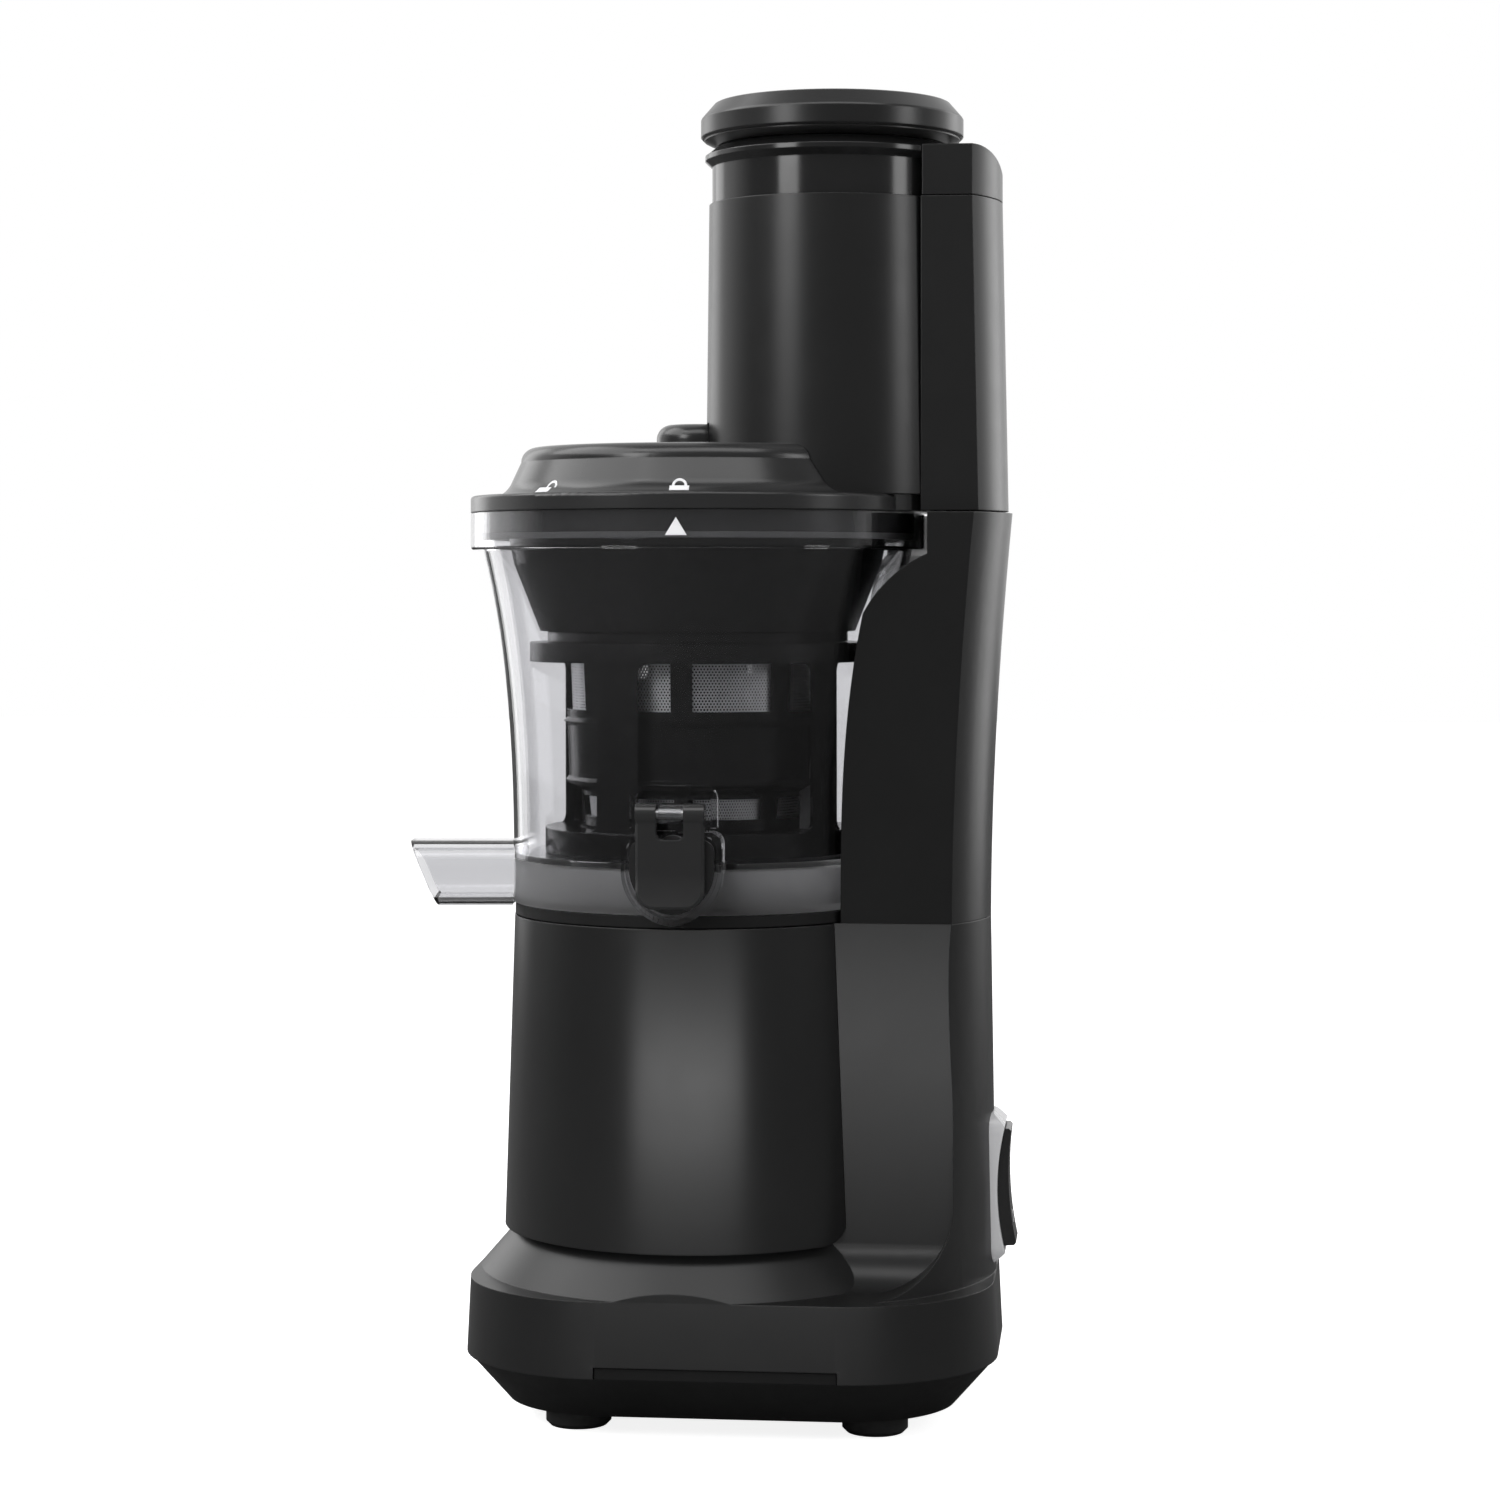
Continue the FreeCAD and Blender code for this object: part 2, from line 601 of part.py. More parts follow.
def tower_outer():
    """Flank with a scoop taken out of its front and back, and a cove at the foot of each scoop."""
    flank = tower_flank()
    b = bend(SCOOP_CORNER)
    scoop = [
        (TOWER_LEFT - CUT_PAST, SKIRT_TOP_Z),
        (SCOOP_EDGE_X - SCOOP_CORNER, SKIRT_TOP_Z),
        ((SCOOP_EDGE_X - b, SKIRT_TOP_Z + b), (SCOOP_EDGE_X, SKIRT_TOP_Z + SCOOP_CORNER)),
        (SCOOP_EDGE_X, DECK_Z + CUT_PAST),
        (TOWER_LEFT - CUT_PAST, DECK_Z + CUT_PAST),
    ]
    front = prism_along_y(scoop, -BASE_HALF_DEPTH - CUT_PAST, -TOWER_HALF_WIDTH)
    wall = -TOWER_HALF_WIDTH
    cove = prism_along_x([
        (wall, SKIRT_TOP_Z),
        (wall, SKIRT_TOP_Z + COVE_RADIUS),
        ((wall - bend(COVE_RADIUS), SKIRT_TOP_Z + bend(COVE_RADIUS)), (wall - COVE_RADIUS, SKIRT_TOP_Z)),
    ], TOWER_LEFT, BASE_RIGHT).common(flank)
    return flank.cut(front).cut(mirrored(front)).fuse([cove, mirrored(cove)])


def grip_block(clearance=0.0):
    """Raised length of the seam in the middle of the front."""
    middle = (BASE_RIGHT - BASE_LEFT) / 2
    half = GRIP_HALF_WIDTH + clearance
    return block(middle - half, middle + half, -BASE_HALF_DEPTH - CUT_PAST, -BASE_HALF_DEPTH + BASE_CORNER / 2,
                 BASE_SEAM_Z, BASE_SEAM_Z + GRIP_HEIGHT + clearance)


def make_housing():
    skirt = loft([skirt_plan(BASE_SEAM_Z), skirt_plan(SKIRT_TOP_Z, SKIRT_DRAFT)])
    cone_foot = BASE_LEFT - SKIRT_DRAFT
    cone_low = SKIRT_TOP_Z - 2 * SKIRT_DRAFT
    shoulder = turned([(0, cone_low), (cone_foot, cone_low), (cone_foot, SKIRT_TOP_Z),
                       (CORE_RADIUS, SHOULDER_TOP_Z), (0, SHOULDER_TOP_Z)])
    shoulder = shoulder.common(Part.Face(skirt_plan(0, SKIRT_DRAFT)).extrude(V(0, 0, DECK_Z)))
    core = rod(CORE_RADIUS, SKIRT_TOP_Z, DECK_LOW_Z)
    body = skirt.fuse([shoulder, core, tower_outer()])

    ceiling = SKIRT_TOP_Z - SHELL_WALL
    skirt_hollow = loft([skirt_plan(BASE_SEAM_Z, SHELL_WALL), skirt_plan(ceiling, SHELL_WALL + SKIRT_DRAFT)])
    core_hollow = rod(CORE_RADIUS - SHELL_WALL, BASE_SEAM_Z, DECK_Z)
    tower_hollow = Part.Face(tower_plan(BASE_SEAM_Z, SHELL_WALL)).extrude(V(0, 0, DECK_Z))
    deck_room = rod(CORE_RADIUS + COVER_FIT, DECK_LOW_Z, DECK_Z)
    body = body.cut(skirt_hollow.fuse([core_hollow, tower_hollow, deck_room]))

    hole_half_height = ROCKER_HALF_HEIGHT + SWITCH_GAP + SWITCH_WALL + COVER_FIT
    hole_half_width = ROCKER_HALF_WIDTH + SLIDE_FIT + SWITCH_WALL + COVER_FIT
    switch_hole = block(SWITCH_BACK_X, BASE_RIGHT + CUT_PAST, -hole_half_width, hole_half_width,
                        SWITCH_Z - hole_half_height, SWITCH_Z + hole_half_height)
    bezel_room = rounded_block(BEZEL_BACK_X, BASE_RIGHT + CUT_PAST, BEZEL_HALF_WIDTH + COVER_FIT,
                               BEZEL_HALF_HEIGHT + COVER_FIT)
    gland_hole = Part.makeCylinder(GLAND_RADIUS + COVER_FIT, BASE_CORNER, V(GLAND_X, BASE_CORNER, GLAND_Z),
                                   V(0, 1, 0))
    for hole in (switch_hole, bezel_room, gland_hole, grip_block(COVER_FIT)):
        body = body.cut(hole)
    keep("base_housing", body)


def rounded_block(x0, x1, half_width, half_height):
    """Block through the +X wall at the switch, with rounded corners."""
    solid = block(x0, x1, -half_width, half_width, SWITCH_Z - half_height, SWITCH_Z + half_height)
    along_x = [e for e in solid.Edges if abs(e.tangentAt(e.FirstParameter).x) > 0.9]
    return solid.makeFillet(BEZEL_CORNER, along_x)


def make_drum_cover():
    top = DECK_Z - COVER_FIT
    inner = CORE_RADIUS + 2 * COVER_FIT
    shell = turned([(inner, DRUM_BOTTOM_Z), (DRUM_BOTTOM_RADIUS, DRUM_BOTTOM_Z), (DRUM_TOP_RADIUS, top),
                    (inner, top)])
    shell = shell.cut(make_cone_clearance())
    half = TOWER_HALF_WIDTH + COVER_FIT
    low = DRUM_BOTTOM_Z - CUT_PAST
    shell = shell.cut(block(0, BASE_RIGHT, -half, half, low, DECK_Z))
    edge = math.sqrt(DRUM_BOTTOM_RADIUS ** 2 - half ** 2)
    b = bend(DRUM_CORNER)
    corner = prism_along_y([
        (edge - DRUM_CORNER, low),
        (edge - DRUM_CORNER, DRUM_BOTTOM_Z),
        ((edge - b, DRUM_BOTTOM_Z + b), (edge, DRUM_BOTTOM_Z + DRUM_CORNER)),
        (edge + DRUM_CORNER, DRUM_BOTTOM_Z + DRUM_CORNER),
        (edge + DRUM_CORNER, low),
    ], -BASE_HALF_DEPTH, -half + CUT_PAST)
    keep("drum_cover", shell.cut(corner).cut(mirrored(corner)))


def make_cone_clearance():
    """Room over the sloping shoulder under the drum cover."""
    gap = COVER_FIT
    cone_foot = BASE_LEFT - SKIRT_DRAFT
    return turned([(0, SKIRT_TOP_Z), (cone_foot, SKIRT_TOP_Z + gap), (CORE_RADIUS, SHOULDER_TOP_Z + gap),
                   (0, SHOULDER_TOP_Z + gap)])


def column_cut(extra=0.0):
    """Space that the bowl needs beside the column, with the flare and notch under the bowl's collar."""
    fit = COLUMN_FIT + extra
    round_room = flared(fit, DECK_Z, BOWL_COLLAR_Z)
    flare = prism_along_y([
        (0, FLARE_START_Z - extra),
        (FLARE_START_X + extra, FLARE_START_Z - extra),
        ((FLARE_MID_X + extra, FLARE_MID_Z - extra), (COLUMN_NOTCH_X + extra, COLUMN_NOTCH_Z - extra)),
        (COLUMN_NOTCH_X + extra, COLUMN_TOP_Z + CUT_PAST),
        (0, COLUMN_TOP_Z + CUT_PAST),
    ], -BASE_HALF_DEPTH, BASE_HALF_DEPTH)
    return round_room.fuse(flare)


def column_loft(inset, z_top):
    sections = []
    for i in range(COLUMN_SECTIONS):
        t = i / (COLUMN_SECTIONS - 1)
        z = DECK_Z + t * (z_top - DECK_Z)
        grow = (COLUMN_TOP_RIGHT - TOWER_RIGHT) * t ** COLUMN_SWEEP_POWER - inset
        sections.append(bowed_plan(COLUMN_LEFT, TOWER_RIGHT - CREASE_INSET + grow + inset / 2,
                                   TOWER_RIGHT + grow, TOWER_HALF_WIDTH - inset, z))
    return loft(sections, ruled=False)


def make_column():
    outer = column_loft(0.0, COLUMN_TOP_Z).cut(column_cut())
    hollow = column_loft(SHELL_WALL, COLUMN_TOP_Z - SHELL_WALL).cut(column_cut(SHELL_WALL))
    keep("column_cover", outer.cut(hollow))
    half = SENSOR_SIZE / 2
    top = COLUMN_TOP_Z - SHELL_WALL
    keep("lid_sensor", block(MAGNET_X - half, MAGNET_X + half, -half, half, top - SENSOR_SIZE, top))


def make_bottom():
    """Tray under the base with four rubber feet and air slots under the motor."""
    tray = loft([skirt_plan(PLATE_BOTTOM_Z, PLATE_TAPER), skirt_plan(BASE_SEAM_Z, PLATE_REVEAL)])
    inside = loft([skirt_plan(PLATE_FLOOR_Z, PLATE_TAPER),
                   skirt_plan(BASE_SEAM_Z, PLATE_REVEAL + PLATE_THICK)])
    lip = loft([skirt_plan(BASE_SEAM_Z, PLATE_REVEAL), skirt_plan(SKIRT_TOP_Z, PLATE_REVEAL + SKIRT_DRAFT)])
    shell_room = loft([skirt_plan(BASE_SEAM_Z, SHELL_WALL), skirt_plan(SKIRT_TOP_Z, SHELL_WALL + SKIRT_DRAFT)])
    lip = lip.cut(shell_room)
    tray = tray.cut(inside).fuse(lip.common(grip_block()))
    for i in range(VENTS):
        x = (i - (VENTS - 1) / 2) * VENT_PITCH
        slot = block(x - VENT_WIDTH / 2, x + VENT_WIDTH / 2, -VENT_LENGTH / 2, VENT_LENGTH / 2,
                     PLATE_BOTTOM_Z, PLATE_FLOOR_Z)
        tray = tray.cut(slot)
    reach = BASE_HALF_DEPTH - FOOT_FRONT_INSET
    feet = []
    for x in (-BASE_LEFT + FOOT_SIDE_INSET, BASE_RIGHT - FOOT_SIDE_INSET):
        for y in (-reach, reach):
            tray = tray.cut(rod(FOOT_STEM_RADIUS + COVER_FIT, PLATE_BOTTOM_Z, PLATE_FLOOR_Z, x, y))
            pad = turned([(0, 0), (FOOT_RADIUS - FOOT_EDGE, 0), (FOOT_RADIUS, FOOT_EDGE),
                          (FOOT_RADIUS, PLATE_BOTTOM_Z), (FOOT_STEM_RADIUS, PLATE_BOTTOM_Z),
                          (FOOT_STEM_RADIUS, PLATE_FLOOR_Z), (0, PLATE_FLOOR_Z)], x, y)
            feet.append(pad)
    keep("bottom_plate", tray)
    keep("rubber_feet", *feet)


# Drive: motor, gearbox, shaft and their supports

def make_drive():
    keep("motor_damper", tube(DAMPER_RADIUS, DAMPER_BORE, PLATE_FLOOR_Z, MOTOR_BOTTOM_Z))
    can = turned([(0, MOTOR_BOTTOM_Z), (MOTOR_RADIUS - MOTOR_EDGE, MOTOR_BOTTOM_Z),
                  (MOTOR_RADIUS, MOTOR_BOTTOM_Z + MOTOR_EDGE), (MOTOR_RADIUS, MOTOR_TOP_Z), (0, MOTOR_TOP_Z)])
    keep("motor_case", can)

    case = rod(GEARBOX_RADIUS, MOTOR_TOP_Z, GEARBOX_SPLIT_Z)
    keep("gearbox_case", case.cut(rod(BEARING_RADIUS, LOW_BEARING_Z, GEARBOX_SPLIT_Z)))
    neck = SEAL_RADIUS + SEAL_WALL
    cover = turned([(0, GEARBOX_SPLIT_Z), (GEARBOX_RADIUS, GEARBOX_SPLIT_Z), (GEARBOX_RADIUS, GEARBOX_TOP_Z),
                    (neck, GEARBOX_TOP_Z), (neck, DECK_LOW_Z), (0, DECK_LOW_Z)])
    cover = cover.cut(rod(BEARING_RADIUS, HIGH_BEARING_Z, HIGH_BEARING_Z + BEARING_HEIGHT))
    keep("gearbox_cover", cover.cut(rod(SHAFT_COLLAR_RADIUS + SWING_FIT, GEARBOX_SPLIT_Z, DECK_Z)))

    bore = SHAFT_RADIUS + RUN_FIT
    low = tube(BEARING_RADIUS, bore, LOW_BEARING_Z, LOW_BEARING_Z + BEARING_HEIGHT)
    high = tube(BEARING_RADIUS, bore, HIGH_BEARING_Z, HIGH_BEARING_Z + BEARING_HEIGHT)
    keep("shaft_bearings", low, high)
    keep("shaft_seal", tube(SEAL_RADIUS, bore, DECK_LOW_Z, DECK_Z))

    collar_z = LOW_BEARING_Z + BEARING_HEIGHT + SLIDE_FIT
    shaft = rod(SHAFT_RADIUS, LOW_BEARING_Z + SLIDE_FIT, HEX_BOTTOM_Z)
    shaft = shaft.fuse(rod(SHAFT_COLLAR_RADIUS, collar_z, GEARBOX_SPLIT_Z - SLIDE_FIT))
    keep("drive_shaft", shaft.fuse(hexagon(HEX_FLATS, HEX_BOTTOM_Z, HEX_TOP_Z)))

    ledge = DRUM_TOP_RADIUS - COVER_FIT
    rim_bore = CORE_RADIUS - DECK_RIM_WALL
    deck = turned([(SEAL_RADIUS, DECK_LOW_Z), (CORE_RADIUS, DECK_LOW_Z), (CORE_RADIUS, DECK_Z + COVER_FIT),
                   (ledge, DECK_Z + COVER_FIT), (ledge, DECK_RIM_Z), (rim_bore, DECK_RIM_Z), (rim_bore, DECK_Z),
                   (SEAL_RADIUS, DECK_Z)])
    keep("bowl_seat", deck)


def hexagon(flats, z0, z1):
    corner = flats / math.sqrt(3)
    points = [polar(corner, 60 * i, z0) for i in range(6)]
    return Part.Face(wire_of(points)).extrude(V(0, 0, z1 - z0))


def make_electrics():
    posts = []
    for x in (BOARD_LEFT + BOARD_EDGE, BOARD_RIGHT - BOARD_EDGE):
        for y in (-BOARD_HALF_WIDTH + BOARD_EDGE, BOARD_HALF_WIDTH - BOARD_EDGE):
            posts.append(rod(STANDOFF_RADIUS, PLATE_FLOOR_Z, BOARD_Z, x, y))
    keep("board_standoffs", *posts)
    top = BOARD_Z + BOARD_THICK
    board = block(BOARD_LEFT, BOARD_RIGHT, -BOARD_HALF_WIDTH, BOARD_HALF_WIDTH, BOARD_Z, top)
    relay_left = BOARD_LEFT + BOARD_EDGE
    relay = block(relay_left, relay_left + RELAY_LENGTH, -RELAY_HALF_WIDTH, RELAY_HALF_WIDTH, top,
                  top + RELAY_HEIGHT)
    capacitor = rod(CAPACITOR_RADIUS, top, top + CAPACITOR_HEIGHT, BOARD_RIGHT - 2 * CAPACITOR_RADIUS, 0)
    keep("control_board", board.fuse([relay, capacitor]))

    back = V(0, 1, 0)
    inside = BASE_HALF_DEPTH - GLAND_LENGTH
    barrel = Part.makeCylinder(GLAND_RADIUS, GLAND_LENGTH, V(GLAND_X, inside, GLAND_Z), back)
    flange = Part.makeCylinder(GLAND_FLANGE_RADIUS, GLAND_FLANGE, V(GLAND_X, BASE_HALF_DEPTH, GLAND_Z), back)
    bore = Part.makeCylinder(GLAND_BORE, BASE_CORNER, V(GLAND_X, BASE_CORNER, GLAND_Z), back)
    keep("cord_gland", barrel.fuse(flange).cut(bore))


# Power switch

def make_switch():
    z0 = SWITCH_Z - BEZEL_HALF_HEIGHT
    z1 = SWITCH_Z + BEZEL_HALF_HEIGHT
    shoulder = BEZEL_OUT_X - BEZEL_CHAMFER
    dished = prism_along_y([
        (BEZEL_BACK_X, z0),
        (shoulder, z0),
        (BEZEL_OUT_X, z0 + BEZEL_CHAMFER),
        ((BEZEL_OUT_X - BEZEL_DISH, SWITCH_Z), (BEZEL_OUT_X, z1 - BEZEL_CHAMFER)),
        (shoulder, z1),
        (BEZEL_BACK_X, z1),
    ], -BEZEL_HALF_WIDTH, BEZEL_HALF_WIDTH)
    window_half_width = ROCKER_HALF_WIDTH + SLIDE_FIT
    window_half_height = ROCKER_HALF_HEIGHT + SWITCH_GAP
    window = block(SWITCH_BACK_X + SWITCH_WALL, BEZEL_OUT_X + CUT_PAST, -window_half_width, window_half_width,
                   SWITCH_Z - window_half_height, SWITCH_Z + window_half_height)
    outline = rounded_block(BEZEL_BACK_X, BEZEL_OUT_X, BEZEL_HALF_WIDTH, BEZEL_HALF_HEIGHT)
    keep("switch_bezel", dished.common(outline).cut(window))

    side = window_half_width + SWITCH_WALL
    end = window_half_height + SWITCH_WALL
    box = block(SWITCH_BACK_X, BEZEL_BACK_X, -side, side, SWITCH_Z - end, SWITCH_Z + end).cut(window)
    across = V(0, 1, 0)
    bore = Part.makeCylinder(TRUNNION_RADIUS + RUN_FIT, 2 * side, V(SWITCH_PIVOT_X, -side, SWITCH_Z), across)
    keep("switch_body", box.cut(bore))

    h = ROCKER_HALF_HEIGHT
    edge = ROCKER_EDGE
    out = ROCKER_OUT_X
    face = (ROCKER_OUT_X + SWITCH_PIVOT_X) / 2
    inner = SWITCH_PIVOT_X - ROCKER_ROOT_DEPTH
    key = prism_along_y([
        (face, SWITCH_Z - h),
        (out - edge, SWITCH_Z - h),
        (out, SWITCH_Z - h + edge),
        ((out - ROCKER_DISH, SWITCH_Z), (out, SWITCH_Z + h - edge)),
        (out - edge, SWITCH_Z + h),
        (face, SWITCH_Z + h),
        (inner, SWITCH_Z + ROCKER_ROOT_HALF),
        (inner, SWITCH_Z - ROCKER_ROOT_HALF),
    ], -ROCKER_HALF_WIDTH, ROCKER_HALF_WIDTH)
    stub = ROCKER_HALF_WIDTH + SLIDE_FIT + SWITCH_WALL
    key = key.fuse(Part.makeCylinder(TRUNNION_RADIUS, 2 * stub, V(SWITCH_PIVOT_X, -stub, SWITCH_Z), across))
    key.rotate(V(SWITCH_PIVOT_X, 0, SWITCH_Z), across, -ROCKER_REST_TILT)
    keep("power_rocker", key)




# Bowl with its pulp spout and juice outlet

def bowl_radius(z):
    """Outer radius of the flared wall at height z."""
    rise = max(0.0, min(1.0, (z - BOWL_BOTTOM_Z) / (BOWL_COLLAR_Z - BOWL_BOTTOM_Z)))
    return BOWL_BOTTOM_RADIUS + (BOWL_NECK_RADIUS - BOWL_BOTTOM_RADIUS) * rise ** BOWL_FLARE_POWER


def flared(offset, z0, z1):
    """Solid inside the bowl's flared wall, moved outwards by an offset."""
    heights = [z0 + (z1 - z0) * i / BOWL_CURVE_STEPS for i in range(BOWL_CURVE_STEPS + 1)]
    curve = Part.BSplineCurve()
    curve.interpolate([V(bowl_radius(z) + offset, 0, z) for z in heights])
    foot = V(0, 0, z0)
    head = V(0, 0, z1)
    edges = [
        Part.LineSegment(foot, V(bowl_radius(z0) + offset, 0, z0)).toShape(),
        curve.toShape(),
        Part.LineSegment(V(bowl_radius(z1) + offset, 0, z1), head).toShape(),
        Part.LineSegment(head, foot).toShape(),
    ]
    return Part.Face(Part.Wire(edges)).revolve(V(0, 0, 0), UP, 360)


def spout_section(half_width, half_height, corner, x):
    """Rounded section of the pulp spout in the plane at x, as a wire."""
    b = bend(corner)
    w = half_width
    low = SPOUT_Z - half_height
    high = SPOUT_Z + half_height
    return wire_of([
        V(x, -w + corner, low),
        V(x, w - corner, low),
        (V(x, w - b, low + b), V(x, w, low + corner)),
        V(x, w, high - corner),
        (V(x, w - b, high - b), V(x, w - corner, high)),
        V(x, -w + corner, high),
        (V(x, -w + b, high - b), V(x, -w, high - corner)),
        V(x, -w, low + corner),
        (V(x, -w + b, low + b), V(x, -w + corner, low)),
    ])


def spout_solid(inset, start, end):
    wire = spout_section(SPOUT_HALF_WIDTH - inset, SPOUT_HALF_HEIGHT - inset, SPOUT_CORNER - inset, start)
    return Part.Face(wire).extrude(V(end - start, 0, 0))


def spout_end_cut():
    slant = 2 * SPOUT_HALF_HEIGHT * math.tan(math.radians(SPOUT_CUT))
    low = SPOUT_Z - SPOUT_HALF_HEIGHT
    high = SPOUT_Z + SPOUT_HALF_HEIGHT
    past = SPOUT_REACH + CUT_PAST
    return prism_along_y([(SPOUT_REACH, high), (SPOUT_REACH - slant, low), (past, low), (past, high)],
                         -2 * SPOUT_HALF_WIDTH, 2 * SPOUT_HALF_WIDTH)


def shield_outline(inset):
    """Front view of the tap's shield, with a pointed foot."""
    w = TAP_HALF_WIDTH - inset
    tip = TAP_TIP_Z + inset * math.sqrt(2)
    top = TAP_SIDE_TOP_Z - inset
    mid = TAP_WIDEST_Z
    c = TAP_TOP_CORNER
    b = bend(c)
    belly = tip + (1 - TAP_BULGE) * (mid - tip)
    return [
        (-w + c, top),
        ((-w + b, top - b), (-w, top - c)),
        (-w, mid),
        ((-TAP_BULGE * w, belly), (0, tip)),
        ((TAP_BULGE * w, belly), (w, mid)),
        (w, top - c),
        ((w - b, top - b), (w - c, top)),
    ]


def hood_block(inset):
    """Rounded block of the hinge hood, from its front back into the bowl's wall."""
    w = TAP_FRAME_HALF_WIDTH - inset
    root = -BOWL_BOTTOM_RADIUS + TAP_HALF_WIDTH
    solid = block(-w, w, -TAP_FRAME_Y - inset, root, TAP_FRAME_BOTTOM_Z - inset, TAP_FRAME_TOP_Z - inset)
    along_y = [e for e in solid.Edges if abs(e.tangentAt(e.FirstParameter).y) > 0.9]
    middle = (TAP_FRAME_BOTTOM_Z + TAP_FRAME_TOP_Z) / 2
    return solid.makeFillet(TAP_TOP_CORNER - inset, [e for e in along_y if e.CenterOfMass.z > middle])


def tap_mount():
    """Shield, hinge hood and knuckle in front of the bowl's wall."""
    root = -BOWL_BOTTOM_RADIUS + TAP_HALF_WIDTH
    past = -TAP_FRONT_Y - CUT_PAST
    shield = prism_along_y(shield_outline(0.0), -TAP_FRONT_Y, root)
    recess = prism_along_y(shield_outline(TAP_RIM), past, -TAP_FLOOR_Y)
    gateway = TAP_HALF_WIDTH - TAP_RIM - TAP_TOP_CORNER
    gate = block(-gateway, gateway, past, -TAP_FLOOR_Y, OUTLET_Z, TAP_SIDE_TOP_Z + CUT_PAST)
    hood = hood_block(0.0).cut(hood_block(HOOD_WALL))
    across = V(1, 0, 0)
    w = KNUCKLE_HALF_WIDTH
    lug_radius = PIN_RADIUS + KNUCKLE_WALL
    lug = Part.makeCylinder(lug_radius, 2 * w, V(-w, -PIN_Y, PIN_Z), across)
    arm = block(-w, w, -PIN_Y, root, PIN_Z - lug_radius, PIN_Z + lug_radius)
    bore = Part.makeCylinder(PIN_RADIUS, 2 * w, V(-w, -PIN_Y, PIN_Z), across)
    apron = rod(BOWL_BOTTOM_RADIUS + COVER_FIT, TAP_TIP_Z, TRAY_TOP_Z)
    return shield.cut(recess.fuse(gate)).fuse([hood, lug, arm]).cut(bore).cut(apron)


def make_bowl():
    """Clear bowl above the juice floor, with its collar and tap mount."""
    shell = flared(0.0, TRAY_TOP_Z, BOWL_COLLAR_Z)
    neck_bore = BOWL_NECK_RADIUS - BOWL_WALL
    edge = COLLAR_EDGE
    b = bend(edge)
    low = BOWL_COLLAR_Z
    rim = COLLAR_RADIUS
    rim_bore = rim - COLLAR_WALL
    ledge_z = low + COLLAR_WALL
    collar = turned([(neck_bore, low), (rim - edge, low), ((rim - b, low + b), (rim, low + edge)),
                     (rim, BOWL_TOP_Z), (rim_bore, BOWL_TOP_Z), (rim_bore, ledge_z), (neck_bore, ledge_z)])
    body = shell.fuse([collar, tap_mount()])
    inside = flared(-BOWL_WALL, JUICE_FLOOR_Z, BOWL_COLLAR_Z)
    hub_bore = rod(HUB_BORE, TRAY_TOP_Z, JUICE_FLOOR_Z)
    port_at = polar(PULP_PORT_REACH, SPOUT_ANGLE)
    pulp_port = rod(PULP_PORT_RADIUS, TRAY_TOP_Z, JUICE_FLOOR_Z, port_at.x, port_at.y)
    outlet_front = V(0, -TAP_FLOOR_Y - CUT_PAST, OUTLET_Z)
    outlet = Part.makeCylinder(OUTLET_RADIUS, TAP_HALF_WIDTH, outlet_front, V(0, 1, 0))
    for hollow in (inside, hub_bore, pulp_port, outlet):
        body = body.cut(hollow)
    keep("bowl", body)


def make_tray():
    """Ring under the bowl that leads the pulp round the hub and out of the spout."""
    r = BOWL_BOTTOM_RADIUS
    floor_top = BOWL_BOTTOM_Z + BOWL_FLOOR
    spout = spout_solid(0.0, r - SPOUT_HALF_HEIGHT, SPOUT_REACH).cut(spout_end_cut())
    spout_bore = spout_solid(SPOUT_WALL, r - 2 * BOWL_WALL, SPOUT_REACH + CUT_PAST)
    under = rod(r + LIFT_FIT, DECK_Z, BOWL_BOTTOM_Z)
    wall_room = flared(COVER_FIT, TRAY_TOP_Z, BOWL_COLLAR_Z)
    body = rod(r, BOWL_BOTTOM_Z, TRAY_TOP_Z).fuse(about_axis(spout, SPOUT_ANGLE))
    chamber = tube(r - BOWL_WALL, HUB_BORE + HUB_WALL, floor_top, TRAY_TOP_Z)
    hub_bore = rod(HUB_BORE, BOWL_BOTTOM_Z, TRAY_TOP_Z)
    for hollow in (chamber, about_axis(spout_bore, SPOUT_ANGLE), hub_bore, under, wall_room):
        body = body.cut(hollow)
    keep("pulp_tray", body)
    keep("bowl_seal", tube(HUB_BORE, SEAL_LIP_RADIUS, BOWL_BOTTOM_Z, floor_top))


# Juice tap

def rounded_front(half_width, top, low, corner, y0, y1):
    """Plate between two y planes with rounded lower corners."""
    w = half_width
    b = bend(corner)
    return prism_along_y([
        (-w, top),
        (-w, low + corner),
        ((-w + b, low + b), (-w + corner, low)),
        (w - corner, low),
        ((w - b, low + b), (w, low + corner)),
        (w, top),
    ], y0, y1)


